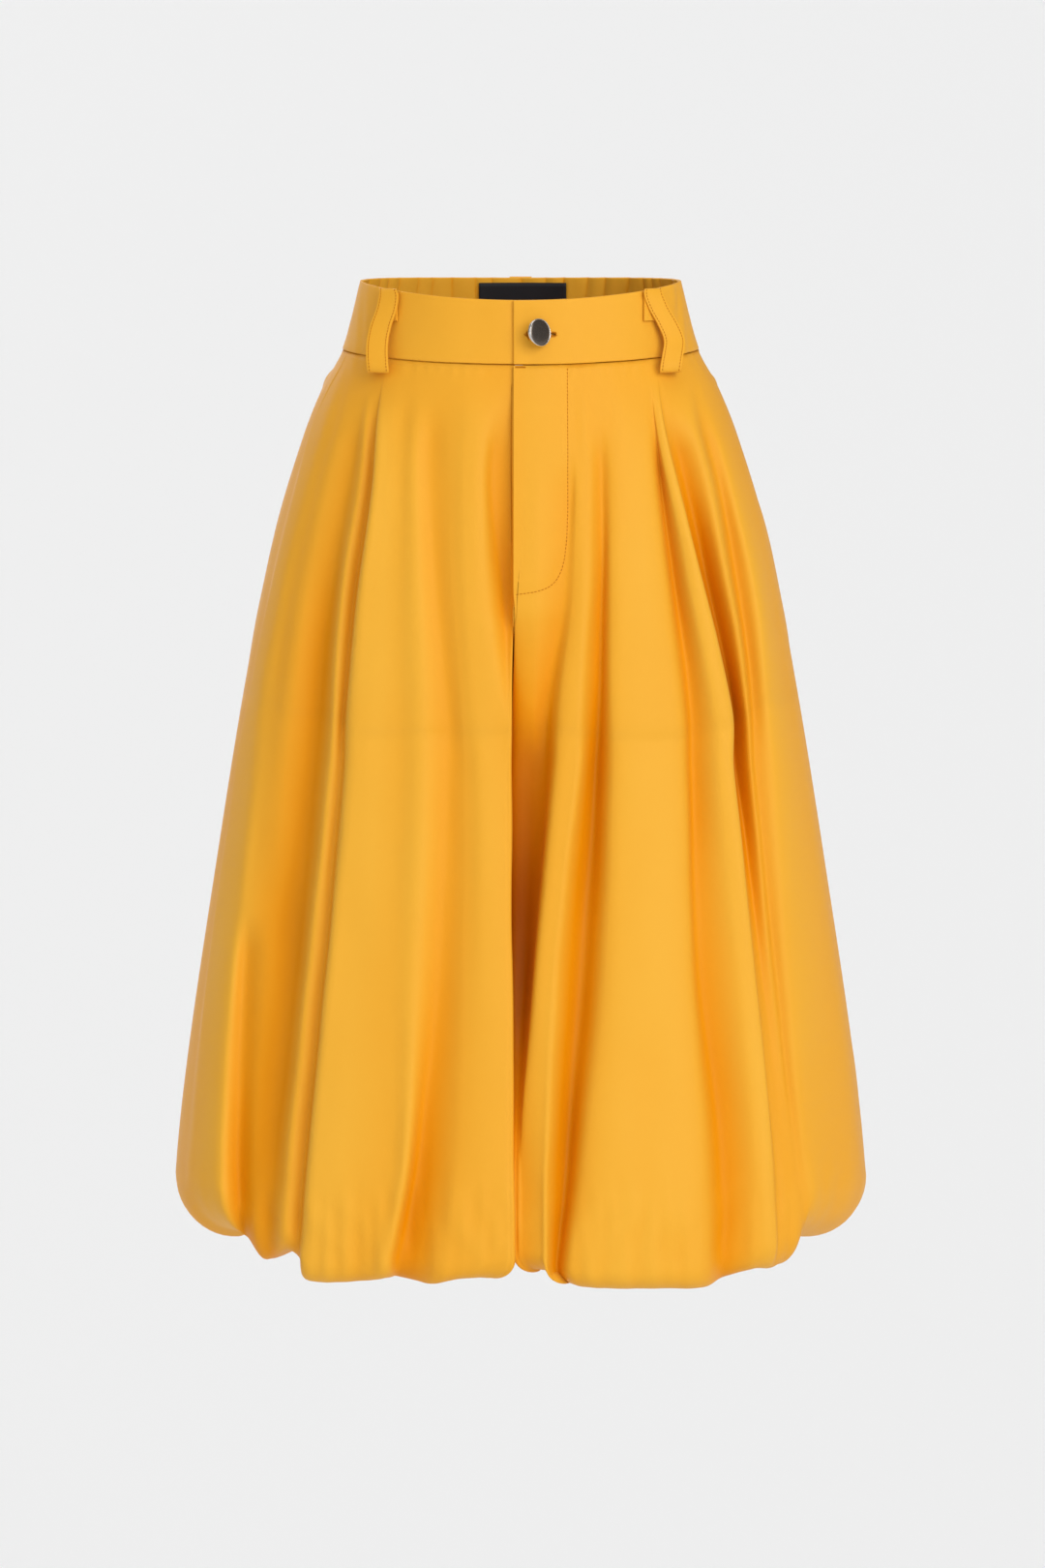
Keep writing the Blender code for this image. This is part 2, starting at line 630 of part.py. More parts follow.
def main():
    remove_all()
    parts = collection("bubble_hem_shorts")
    cutters = collection("cutters")
    cloth = material("Marigold twill", (0.78, 0.37, 0.02), 0.55, 0.0)
    dark_cloth = material("Black woven label", (0.008, 0.008, 0.011), 0.7, 0.0)
    metal = material("Dark metal", (0.07, 0.06, 0.05), 0.25, 1.0)
    steel = material("Bright metal", (0.6, 0.6, 0.6), 0.2, 1.0)

    panel("front_left", FRONT_LEFT, LEFT, FRONT, cloth, parts)
    panel("front_right", FRONT_RIGHT, RIGHT, FRONT, cloth, parts)
    panel("back_left", BACK_LEFT, LEFT, BACK, cloth, parts)
    panel("back_right", BACK_RIGHT, RIGHT, BACK, cloth, parts)
    hem_band("hem_band_left", FRONT_LEFT, BACK_LEFT, LEFT, cloth, parts)
    hem_band("hem_band_right", FRONT_RIGHT, BACK_RIGHT, RIGHT, cloth, parts)

    overlap = front_band("waistband_front_left", LEFT, FLY_EDGE_X, cloth, parts)
    underlap = front_band("waistband_front_right", RIGHT, BAND_UNDERLAP_X, cloth, parts)
    back_band("waistband_back", cloth, parts)

    belt_loop("belt_loop_front_left", LOOP_ACROSS, FRONT, cloth, parts)
    belt_loop("belt_loop_front_right", -LOOP_ACROSS, FRONT, cloth, parts)
    belt_loop("belt_loop_back", 0.0, BACK, cloth, parts)
    label("label", dark_cloth, parts)

    fly_layer("fly_facing", UNDERLAP_X + 1.5, FLY_WIDTH, FLY_BOTTOM, FACING_IN, cloth, parts,
              curved=True)
    fly_layer("zip", ZIP_X - ZIP_WIDTH / 2, ZIP_X + ZIP_WIDTH / 2, FLY_BOTTOM - 10, ZIP_IN,
              cloth, parts, lower=SLIDER_HEIGHT + LAYER_GAP)
    fly_layer("fly_shield", CENTRE_X - SHIELD_WIDTH / 2, CENTRE_X + SHIELD_WIDTH / 2,
              FLY_BOTTOM - 4, SHIELD_IN, cloth, parts)
    zip_slider("zip_slider", steel, parts, cutters)

    foot, normal = form(BUTTON_FOOT_X, BUTTON_DROP, FRONT)
    face = foot + normal * (BAND_WALL / 2 - BAND_LAP)
    normal = wall_normal(BUTTON_FOOT_X, BUTTON_DROP, FRONT)
    lean = Matrix.Rotation(radians(BUTTON_TILT), 3, "Z") @ normal
    button = turned("button", BUTTON_PROFILE, 32, metal, parts)
    aim(button, face + normal * NECK_LIFT, lean)
    tack = turned("button_tack", TACK_PROFILE, 24, steel, parts)
    aim(tack, face, normal)
    along = Vector((0, 0, 1)).cross(normal).normalized()
    slot = box("buttonhole_cutter", face + along * BUTTONHOLE_SHIFT, normal,
               (BUTTONHOLE_LENGTH, BUTTONHOLE_HEIGHT, 12.0), cutters)
    join(overlap, slot, "DIFFERENCE")
    hole = box("post_cutter", face, normal, (POST_HOLE, POST_HOLE, 8.0), cutters)
    join(underlap, hole, "DIFFERENCE")


main()
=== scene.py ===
# %% [markdown]
# # High-waisted shorts with a bubble hem
# This notebook dresses a imported CAD model of wide-leg shorts in finely folded cloth. The
# real garment is cut from a smooth marigold twill, sewn into a flat front band and an
# elastic back band, and its hems roll under onto narrow inner bands. First the packed
# model comes in. The finished cloth has to stay within it.

# %% Load the imported shorts
from bisect import bisect_right
from collections import namedtuple
from math import asin, atan2, cos, pi, radians, sin, sqrt

import bmesh
import bpy
from mathutils import Matrix, Vector, noise
from mathutils.bvhtree import BVHTree


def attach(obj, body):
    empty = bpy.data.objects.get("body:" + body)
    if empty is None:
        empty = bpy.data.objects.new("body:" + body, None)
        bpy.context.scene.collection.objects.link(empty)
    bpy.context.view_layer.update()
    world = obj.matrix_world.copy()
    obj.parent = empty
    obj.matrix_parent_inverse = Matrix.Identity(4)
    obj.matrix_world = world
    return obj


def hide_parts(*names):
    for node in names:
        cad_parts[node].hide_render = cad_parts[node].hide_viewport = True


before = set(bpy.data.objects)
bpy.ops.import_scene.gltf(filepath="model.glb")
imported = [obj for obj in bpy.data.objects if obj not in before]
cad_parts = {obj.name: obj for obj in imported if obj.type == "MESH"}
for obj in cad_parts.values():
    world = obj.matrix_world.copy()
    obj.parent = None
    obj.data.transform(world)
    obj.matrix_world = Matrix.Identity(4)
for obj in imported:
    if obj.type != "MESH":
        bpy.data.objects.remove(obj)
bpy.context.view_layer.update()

print("nodes:", ", ".join(sorted(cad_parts)))

# %% [markdown]
# ## Camera
# A product photograph of clothing is taken from far away with a long lens, so that the
# waist and the hem are seen at the same scale. The camera stands 6 m off, a little above
# the middle of the garment. The lens comes from the scale wanted: 0.70 mm for each pixel
# of a picture 1620 pixels high, on a sensor 36 mm along that side.

# %% Camera
MM = 0.001
CAMERA_DISTANCE = 6.0
CAMERA_LIFT = radians(7.0)
AIM = Vector((0.0014, 0.0, -0.339))
PIXEL_SIZE = 0.70 * MM
FRAME_HEIGHT = 1620
SENSOR = 36.0

lens = bpy.data.cameras.new("Product camera")
lens.sensor_width = SENSOR
lens.lens = SENSOR * CAMERA_DISTANCE / (FRAME_HEIGHT * PIXEL_SIZE)
lens.clip_end = 1000.0
camera = bpy.data.objects.new("Product camera", lens)
bpy.context.scene.collection.objects.link(camera)
back_off = Vector((0.0, -cos(CAMERA_LIFT), sin(CAMERA_LIFT))) * CAMERA_DISTANCE
camera.location = AIM + back_off
camera.rotation_euler = (-back_off).to_track_quat("-Z", "Y").to_euler()
bpy.context.scene.camera = camera
print("lens", round(lens.lens, 1), "mm")

# %% [markdown]
# ## The plain body form
# Every piece of the garment lies on one smooth form: a stack of rounded, flattened rings,
# each a superellipse. The tables are in millimetres, and "drop" runs down from the side
# of the waist's top edge. They are the CAD model's own sizes, so that the cloth lands on
# its solids. `smooth` reads between the rows along a curve, and `form` gives a point on
# the form with its outward direction.

# %% The body form
LEFT, RIGHT = 1, -1
FRONT, BACK = -1, 1
ORIGIN_DROP = 25.0
BAND_HEIGHT = 49.0
FRONT_DIP = 8.5
BACK_DIP = 3.0
FRONT_SEAM_DIP = 4.5

Body = namedtuple("Body", "drop half_width front_depth back_depth squareness")
BODY = (
    Body(0, 114, 84, 84, 2.0),
    Body(49, 127, 92, 94, 2.05),
    Body(77, 142, 99, 103, 2.1),
    Body(112, 156, 107, 112, 2.15),
    Body(182, 177, 120, 125, 2.2),
    Body(287, 198, 133, 138, 2.25),
    Body(427, 221, 148, 150, 2.3),
    Body(567, 242, 164, 163, 2.35),
    Body(655, 251, 173, 170, 2.4),
    Body(720, 251, 173, 170, 2.4),
)


def ease(value):
    """Rise smoothly from 0 to 1."""
    share = min(max(value, 0.0), 1.0)
    return share * share * (3.0 - 2.0 * share)


def slope(places, values, index):
    """Slope of a table at one of its rows, from its two neighbours."""
    low = max(index - 1, 0)
    high = min(index + 1, len(places) - 1)
    return (values[high] - values[low]) / (places[high] - places[low])


def smooth(places, values, at):
    """Read a table between its rows along a smooth curve."""
    index = min(max(bisect_right(places, at) - 1, 0), len(places) - 2)
    span = places[index + 1] - places[index]
    share = min(max((at - places[index]) / span, 0.0), 1.0)
    start = slope(places, values, index) * span
    end = slope(places, values, index + 1) * span
    rise = values[index + 1] - values[index]
    return (values[index] + share * (start + share * (3 * rise - 2 * start - end
            + share * (start + end - 2 * rise))))


BODY_DROPS = tuple(row.drop for row in BODY)
BODY_COLUMNS = {name: tuple(getattr(row, name) for row in BODY) for name in Body._fields}


def body(drop):
    """Half width, front depth, back depth and squareness of the plain form at a drop."""
    return Body(drop, *(smooth(BODY_DROPS, BODY_COLUMNS[name], drop) for name in Body._fields[1:]))


def form(across, drop, facing, size=None):
    """Point and outward direction of the plain form, at a distance from the centre."""
    size = size or body(drop)
    depth = size.front_depth if facing == FRONT else size.back_depth
    power = size.squareness
    share = min(abs(across) / size.half_width, 1.0)
    reach = (1.0 - share ** power) ** (1.0 / power)
    side = 1.0 if across >= 0 else -1.0
    point = Vector((side * share * size.half_width, facing * reach * depth, -drop))
    normal = Vector((side * share ** (power - 1) / size.half_width,
                     facing * reach ** (power - 1) / depth, 0.0))
    return point, normal.normalized()


def seam_drop(share, facing):
    """Drop of the waist seam at a share of the half width; it dips at the front."""
    dip = FRONT_SEAM_DIP if facing == FRONT else 0.0
    return BAND_HEIGHT + dip * (1.0 - share * share)


def rim_drop(share, facing):
    """Drop of the waist's top edge, which dips at the front and a little at the back."""
    dip = FRONT_DIP if facing == FRONT else BACK_DIP
    return dip * (1.0 - share * share)


def unevenness(*place):
    """A soft random value from about -1 to 1 that is the same on every run."""
    return noise.noise(Vector(place))


print("waist", 2 * body(0).half_width, "x", body(0).front_depth + body(0).back_depth, "mm")
print("hem", 2 * body(700).half_width, "x", body(700).front_depth + body(700).back_depth, "mm")

# %% [markdown]
# ## Fold lines
# Cloth that hangs from a waist seam falls in long ridges and troughs. Each one is placed
# here as a fold line: how far it runs from the centre at nine heights, how far it
# stands off the body form there, and how much the hem is lifted where it ends. Sharp pleat
# edges are two lines close together, one on the crest and one at its foot. A line's
# distance from the centre is measured as seen from the front, so it can be read off a
# picture with a ruler.

# %% Fold lines of the front
Fold = namedtuple("Fold", "name start across out lift")
FRONT_STATIONS = (52, 92, 140, 225, 300, 340, 475, 610, 700)
BACK_STATIONS = (52, 140, 300, 475, 700)

FRONT_LEFT = (
    Fold("centre recess", 215, (4, 4, 4, -3.2, -5.2, -6.2, -5.6, -4.6, -4.2),
         (0, 0, 0, -3, -13, -24, -32, -8, -6), 11),
    Fold("flat under the fly", 215, (12, 12, 12, 10, 8, 8, 4, -3.0, -2.4),
         (0, 0, 0, -1, -10, -22, -31, -7.5, -6), 13),
    Fold("trough beside the fly", 110, (34, 35, 36, 30, 19, 18, 9, -1.2, 0),
         (-0.5, -1, -3, -5.5, -13, -19, -20, -6.5, -5.5), 14),
    Fold("inner crest edge", 60, (38, 39, 40, 36.5, 28, 25, 12, 1.0, 4),
         (0, 0, 0, -1, -1, -1, -1.5, -5.5, -5), 14),
    Fold("inner crest", 60, (43, 45, 46, 44, 38, 36, 20, 14, 14.5),
         (0.5, 0.5, 0.5, 1, 1, 1, 0.5, -0.5, -0.8), 12),
    Fold("inner step", 60, (47, 49, 50, 48, 43, 41, 26, 18.5, 17.5),
         (0, 0, 0, 0, 0, 0, 0, 0.6, 1), 6),
    Fold("long trough", 88, (54, 56, 58, 57.5, 56, 54, 44, 33, 24),
         (-1, -2, -5, -9, -13, -16, -17, -17, -13), 3),
    Fold("crisp edge", 60, (60, 62, 64, 64, 64.5, 65, 60, 46, 35),
         (0, 0, 0, 0, 0, 0, 0, -1, -1), 2),
    Fold("highlight crest", 60, (69, 72, 75, 80, 83, 86, 87, 94, 108),
         (1, 1, 2, 3, 3, 3.5, 3.5, 3.5, 3), 0),
    Fold("trough shoulder", 70, (83, 88, 94, 104, 113, 115, 119, 129, 131),
         (0.5, 1, 1, 1, 1, 1, 1, 1, 0), 0),
    Fold("broad trough", 95, (88, 94, 100, 112, 121, 122, 127, 143, 144),
         (-2, -4, -7, -9, -9, -9, -9, -11, -9), 4),
    Fold("main pleat shoulder", 62, (92, 96, 106, 124, 139, 142, 156, 168, 171),
         (0, 2, 4, 6, 6, 6, 4, 2, 1), 10),
    Fold("main pleat crest", 62, (95, 100, 111, 133, 149.5, 150.5, 165, 178, 182),
         (1, 4, 6, 8, 8, 8, 6, 4, 3), 9),
    Fold("main pleat foot", 80, (97, 101.5, 112, 133, 149.5, 150.5, 166, 180, 185),
         (0, -2, -6, -10, -10, -9, -1, -1, -1), 8),
    Fold("main pleat recess", 85, (101, 107, 118, 138, 153, 154.5, 170, 185, 192),
         (-1, -5, -11, -18, -20, -20, -5, -2, -1), 8),
    Fold("second crest", 62, (112, 121, 133, 150, 161, 163, 177, 192, 203),
         (1, 2, 2, 0, -4, -5, -2, -2, -1), 10),
    Fold("second recess", 80, (119, 128, 141, 157, 166, 168, 181, 196, 209),
         (-1, -3, -4, -7, -6, -5, -3, -2, -1), 17),
    Fold("side crest", 55, (123, 136, 150, 168, 177, 181, 190, 204, 222),
         (0, 1, 2, 3, 3, 3, 2, 1, 1), 27),
)

FRONT_RIGHT = (
    Fold("centre edge", 60, (6, 6, 6, 5.2, 6.4, 7.4, 6.6, 5.6, 5),
         (0, -3, -5, -8, 0, 0, 0, 0, 0), 9),
    Fold("trough by the fly", 80, (14, 17, 20, 11, 8.6, 9.4, 8.6, 7.6, 7),
         (-0.5, -3, -6, -9, 0.5, 0.5, 0.5, 0.5, 0.5), 9),
    Fold("centre crest line", 60, (22, 25, 27, 22, 12, 12, 11, 10.5, 9.5),
         (0.5, 1, 1, 1, 1, 1, 1, 1, 1), 9),
    Fold("centre crest", 60, (34, 36, 39, 36, 30, 28, 26, 26, 26),
         (1, 1.5, 2, 2.5, 2, 2, 1.5, 1, 0), 9),
    Fold("plain front", 60, (46, 49, 50, 46, 40, 38, 39, 44, 60),
         (0, 0, 0, 0, 0, -1, -1, -1, -1), 4),
    Fold("faint trough", 75, (58, 62, 64, 58, 51, 50, 57, 72, 88),
         (-1, -2, -2.5, -3, -4, -4.5, -6, -11, -12), 7),
    Fold("broad crest", 60, (70, 73, 75, 72, 70, 70, 74, 81, 97),
         (0, 1, 2, 3, 3, 3, 3, 2, 1), 8),
    Fold("shallow dip", 85, (78, 82, 85, 87, 87, 87, 91, 91, 110),
         (0, 1, 1.5, 2.5, 2.5, 2.2, 1.6, 0.5, -1), 5),
    Fold("main pleat shoulder", 62, (86, 92, 96, 105, 110, 111, 124, 138, 146),
         (0, 2.5, 4.5, 5.5, 6, 6, 5.5, 5, 3), 3),
    Fold("main pleat edge", 64, (94, 100.5, 104, 114.5, 121, 122.5, 135, 148.5, 156),
         (0, 4, 6.5, 7, 7, 7, 6.5, 5.5, 3.5), 6),
    Fold("main pleat foot", 66, (96, 102.5, 106.5, 118, 125.5, 127, 139, 152.5, 160.5),
         (0, -2, -5, -6, -4, -3, -4, -6, -4), 18),
    Fold("shelf", 66, (102, 109, 114, 127, 132, 134.5, 149, 163.5, 168.5),
         (0, 1, 0, 1, 2, 2, 1, 0, 0), 24),
    Fold("second trough", 80, (109, 115, 122, 136.5, 144, 147, 161, 175, 179),
         (-1, -2, -5, -9, -11, -11, -12, -11, -7), 16),
    Fold("long slope", 70, (116, 125, 138, 155, 165, 169, 183, 190, 189),
         (0, 0, -0.5, -1, -2, -3, -6.5, -9.5, -9), 12),
    Fold("hem crease", 440, (120, 131, 145, 165, 176, 180, 196, 202, 197),
         (0, 0, 0, 0, 0, 0, -4, -10, -12), 20),
    Fold("outer crest", 60, (124, 138, 152, 173, 186, 190, 203.5, 213, 211),
         (1, 1, 1, 2, 3, 3, 3, 2, 1), 27),
    Fold("side crease", 60, (127, 145, 159, 180, 196, 203, 222, 234, 237),
         (0, 0.5, 1, 1.5, 2, 2, 2, 2, 1), 26),
)
print(len(FRONT_LEFT) + len(FRONT_RIGHT), "fold lines on the front")

# %% [markdown]
# The back hangs from elastic, so its fullness starts in small gathers that join into six
# soft folds on each leg. Nothing of it is seen from the front. The two sides differ a
# little, as they would on a real garment.

# %% Fold lines of the back
BACK_LEFT = (
    Fold("seat seam trough", 50, (7, 8, 6, 5, 8), (-3, -4, -3, -1, -2), 14),
    Fold("gather crest 1", 50, (16, 20, 24, 26, 30), (3, 5, 4, 3, 2), 7),
    Fold("gather trough 1", 50, (27, 32, 38, 47, 55), (-3, -7, -6, -4, -4), 11),
    Fold("gather crest 2", 50, (38, 45, 56, 68, 80), (3, 6, 6, 5, 3), 5),
    Fold("gather trough 2", 50, (49, 58, 73, 87, 99), (-3, -6, -9, -10, -8), 12),
    Fold("gather crest 3", 50, (60, 72, 89, 104, 116), (3, 4, 4, 5, 4), 6),
    Fold("gather trough 3", 50, (71, 86, 104, 121, 134), (-3, -7, -5, -3, -3), 11),
    Fold("gather crest 4", 50, (82, 99, 119, 138, 152), (3, 6, 7, 5, 3), 9),
    Fold("gather trough 4", 50, (92, 111, 133, 154, 170), (-3, -5, -7, -10, -8), 15),
    Fold("gather crest 5", 50, (101, 122, 147, 170, 187), (3, 4, 3, 4, 3), 12),
    Fold("gather trough 5", 50, (109, 133, 160, 186, 204), (-3, -6, -6, -4, -4), 17),
    Fold("gather crest 6", 50, (117, 143, 172, 200, 219), (2, 4, 4, 3, 2), 15),
    Fold("side trough", 50, (122, 152, 184, 212, 232), (-2, -3, -4, -4, -3), 20),
)
BACK_RIGHT = (
    Fold("seat seam trough", 50, (8, 9, 7, 6, 9), (-3, -4, -3, -1, -2), 14),
    Fold("gather crest 1", 50, (18, 23, 28, 34, 40), (3, 6, 6, 4, 3), 6),
    Fold("gather trough 1", 50, (29, 36, 44, 53, 62), (-3, -6, -9, -9, -7), 12),
    Fold("gather crest 2", 50, (39, 48, 58, 69, 79), (3, 4, 4, 4, 3), 7),
    Fold("gather trough 2", 50, (50, 61, 73, 86, 97), (-3, -7, -5, -3, -3), 10),
    Fold("gather crest 3", 50, (62, 75, 89, 104, 117), (3, 6, 6, 6, 4), 5),
    Fold("gather trough 3", 50, (73, 88, 105, 122, 136), (-3, -6, -11, -11, -8), 13),
    Fold("gather crest 4", 50, (83, 99, 119, 139, 153), (3, 5, 4, 4, 3), 8),
    Fold("gather trough 4", 50, (92, 110, 133, 155, 171), (-3, -7, -6, -4, -4), 13),
    Fold("gather crest 5", 50, (101, 121, 146, 171, 188), (3, 5, 6, 5, 3), 11),
    Fold("gather trough 5", 50, (109, 131, 159, 186, 205), (-3, -6, -8, -8, -6), 18),
    Fold("gather crest 6", 50, (117, 142, 172, 200, 220), (2, 4, 3, 3, 2), 15),
    Fold("side trough", 50, (122, 152, 184, 212, 232), (-2, -3, -4, -3, -3), 20),
)
print(len(BACK_LEFT) + len(BACK_RIGHT), "fold lines on the back")

# %% [markdown]
# ## One level section of a leg panel
# At any drop, a panel's section starts at its inner edge. That edge follows the fly and
# the centre seam, then the rise's curve under the crotch, and then the inseam. From there
# the section runs along the leg's inner wall, through the fold lines, and round to the
# side seam. The left front laps over the right at the fly, so each stands off by half of
# a step there.

# %% Edges and fold points
SEAM_GAP = 0.5
WAIST_SEAM_GAP = 0.75
CENTRE_X = -4.5
SEAM_HALF_GAP = 0.46
LEG_HALF_GAP = 1.6
RISE_START, RISE_END = 240.0, 312.0
CENTRE_RECESS = 18.0
LEG_BOW, BOW_START, BOW_RUN = 12.0, 258.0, 72.0
FLY_BOTTOM = 212.0
FLY_EDGE_X, UNDERLAP_X = -5.0, 3.0
FLY_WIDTH = 37.0
PANEL_LAP = 1.0
LAP_FADE = 22.0
CROSS_RUN, LAP_END_RUN, FLY_FADE = 12.0, 14.0, 40.0
FOLD_ONSET = 38.0
SIDE_LIFT = 18
SIDE_SHARES = (0.97, 0.993, 1.0)
WALL_SHARES = (0.3, 0.62, 0.86)
WALL_CURVE = 2.2


def panel_lap(across, drop, side):
    """How far a front stands off where the left front laps over the right front."""
    fade = 1.0 - ease((abs(across) - FLY_WIDTH / 2) / LAP_FADE)
    end = 1.0 - ease((drop - FLY_BOTTOM - CROSS_RUN) / LAP_END_RUN)
    return side * PANEL_LAP * fade * end


def inner_edge(drop, side, facing, size):
    """A panel's inner edge: centre seam, then the rise's curve, then the inseam."""
    depth = size.front_depth if facing == FRONT else size.back_depth
    recess = CENTRE_RECESS if facing == FRONT else 0.0
    depth -= recess * ease((drop - FLY_BOTTOM - CROSS_RUN) / FLY_FADE)
    turn = min(max((drop - RISE_START) / (RISE_END - RISE_START), 0.0), 1.0)
    depth *= sqrt(1.0 - turn * turn)
    half_gap = SEAM_HALF_GAP if drop <= RISE_END else LEG_HALF_GAP
    x = CENTRE_X + side * half_gap + LEG_BOW * ease((drop - BOW_START) / BOW_RUN)
    if facing == FRONT:
        lapped = FLY_EDGE_X if side == LEFT else UNDERLAP_X
        x += (lapped - x) * (1.0 - ease((drop - FLY_BOTTOM) / CROSS_RUN))
        depth += panel_lap(0.0, drop, side)
    return Vector((x, facing * max(depth, SEAM_GAP / 2), -drop))


def fold_point(fold, drop, side, facing, size, flat=False):
    """A point of one fold line at a drop, with the hem lift of its fold."""
    stations = FRONT_STATIONS if facing == FRONT else BACK_STATIONS
    index = 0.13 * len(fold.name) + fold.lift
    seen = smooth(stations, fold.across, drop) + 0.9 * unevenness(drop / 60, index, side)
    point, normal = form(side * seen, drop, facing, size)
    if not flat:
        out = smooth(stations, fold.out, drop)
        out *= 1.0 + 0.15 * unevenness(drop / 75, side, index)
        out *= ease((drop - fold.start) / FOLD_ONSET)
        if facing == FRONT:
            out += panel_lap(seen, drop, side)
        # Stand the point off the form and slide it back to where it is seen.
        seat, normal = form(side * (seen - side * normal.x * out), drop, facing, size)
        point = seat + normal * out
    return Vector((point.x, point.y, fold.lift))


# %% [markdown]
# The section's fold points are joined by a smooth curve, with more points where the cloth
# turns sharply. A centripetal curve is used, because it never loops between a crest and
# the foot close beside it. The points carry the hem lift as a third number.

# %% A smooth section
CLOTH_STEP = 2.65
SIDE_PROBE_DROPS = (80, 160, 250, 340, 475, 610, 700)


def curve_tangents(points):
    """A tangent for each span's two ends, for a centripetal curve through points."""
    spans = [max((b - a).length, 0.01) ** 0.5 for a, b in zip(points, points[1:])]
    slopes = [(b - a) / span for a, b, span in zip(points, points[1:], spans)]
    middles = [(slopes[i] * spans[i + 1] + slopes[i + 1] * spans[i]) / (spans[i] + spans[i + 1])
               for i in range(len(spans) - 1)]
    tangents = [slopes[0], *middles, slopes[-1]]
    return [(tangents[i] * spans[i], tangents[i + 1] * spans[i]) for i in range(len(spans))]


def curve_points(points, counts):
    """Points along the curve, with a given count in each span."""
    made = []
    for index, (start, end) in enumerate(curve_tangents(points)):
        rise = points[index + 1] - points[index]
        for step in range(counts[index]):
            share = step / counts[index]
            made.append(points[index] + share * (start + share * (
                3 * rise - 2 * start - end + share * (start + end - 2 * rise))))
    made.append(points[-1].copy())
    return made


def section_knots(folds, drop, side, facing, flat=False):
    """The points that a panel's section runs through, from its inner edge to its side."""
    size = body(drop)
    edge = inner_edge(drop, side, facing, size)
    ridge = [fold_point(fold, drop, side, facing, size, flat) for fold in folds]
    edge = Vector((edge.x, edge.y, folds[0].lift))
    wall = [Vector((edge.x + (ridge[0].x - edge.x) * (1.0 - (1.0 - share) ** WALL_CURVE),
                    edge.y + (ridge[0].y - edge.y) * share, edge.z)) for share in WALL_SHARES]
    around = []
    for share in SIDE_SHARES:
        point, _ = form(side * share * size.half_width, drop, facing, size)
        around.append(Vector((point.x, point.y + facing * SEAM_GAP / 2, SIDE_LIFT)))
    return [edge, *wall, *ridge, *around]


def span_counts(folds, side, facing):
    """How many steps each span of the section takes, from its longest length."""
    longest = []
    for drop in SIDE_PROBE_DROPS:
        knots = section_knots(folds, drop, side, facing)
        spans = [(b - a).to_2d().length for a, b in zip(knots, knots[1:])]
        longest = [max(pair) for pair in zip(spans, longest)] if longest else spans
    return [min(max(round(span / CLOTH_STEP), 3), 22) for span in longest]


print("steps across the left front:", sum(span_counts(FRONT_LEFT, LEFT, FRONT)))

# %% [markdown]
# ## A whole panel
# The sections are worked out once every few millimetres, and each column of the cloth is
# read down through them. That lets every column start on the curved waist seam and end at
# its own hem lift. Small gathers and puckers are added near the seams as the columns are
# read.

# %% Panel rows
SECTION_STEP = 2.5
SECTION_TOP, SECTION_COUNT = 45.0, 272
HEM_DROP = 706.0
FRONT_ROLL, SIDE_ROLL = 16.0, 40.0
SIDE_ROLL_START, SIDE_ROLL_RUN = 150.0, 90.0
ROLL_END = 650.0
RING_SHRINK = 0.32
ROLL_CENTRE_X = 60.0
PANEL_ROWS = 174
ROLL_ROWS = 24
Pucker = namedtuple("Pucker", "depth wave reach")
FRONT_PUCKER = Pucker(0.2, 9.0, 14.0)
BACK_PUCKER = Pucker(1.7, 13.5, 70.0)
FLY_J_WIDTH, FLY_J_TOP, FLY_RAISE = 33.5, 163.0, 0.8
HEM_PUCKER_TOP, HEM_PUCKER_RUN = 600.0, 70.0
EDGE_CALM, SIDE_CALM_COLUMNS = 30.0, 8
SEAM_CALM = 40.0
LIFT_WANDER, LIFT_WAVE = 1.2, 9.0
RING_BELOW = 20
LEG_SPAN, ROLL_TAPER = 250.0, 160.0


def section_table(folds, side, facing, flat=False):
    """Fine sections of a panel, one for each step of drop."""
    counts = span_counts(folds, side, facing)
    drops = [SECTION_TOP + SECTION_STEP * step for step in range(SECTION_COUNT)]
    return [curve_points(section_knots(folds, drop, side, facing, flat), counts) for drop in drops]


def read_column(table, column, drop):
    """A column's place in the section table at a drop."""
    place = min(max((drop - SECTION_TOP) / SECTION_STEP, 0.0), SECTION_COUNT - 1.001)
    row = int(place)
    point = table[row][column].lerp(table[row + 1][column], place - row)
    return Vector((point.x, point.y, -drop)), point.z


def pucker_out(across, below, side, facing):
    """How far small gathers under the waist seam push the cloth in or out."""
    kind = FRONT_PUCKER if facing == FRONT else BACK_PUCKER
    reach = kind.reach * (1.0 + 0.6 * unevenness(across / kind.wave, side * 3.1, facing))
    wave = sin(2 * pi * across / kind.wave + 2.0 * unevenness(across / 30, side, 5.0))
    return kind.depth * wave * (1.0 - ease(below / reach)) * ease(abs(across) / 20)


def fly_raise(across, drop, side):
    """The fly facing behind the left front lifts the cloth inside the J of its stitching."""
    if side == RIGHT or drop > FLY_BOTTOM + 6:
        return 0.0
    bend = max(1.0 - (max(across, 0.0) / FLY_J_WIDTH) ** 2.2, 0.0) ** 0.5
    edge = FLY_J_TOP + (FLY_BOTTOM + 2 - FLY_J_TOP) * bend
    return FLY_RAISE * ease((FLY_J_WIDTH - across) / 2.5) * ease((edge - drop) / 4.0)


def hem_pucker(across, drop, side, facing):
    """Small crossing creases where the wide cloth turns under at the hem."""
    upright = unevenness(across / 8, drop / 55, 13 * side + facing)
    slanting = unevenness((across + 0.5 * drop) / 14, drop / 30, 17 * side + facing)
    return (1.3 * upright + 0.9 * slanting) * ease((drop - HEM_PUCKER_TOP) / HEM_PUCKER_RUN)


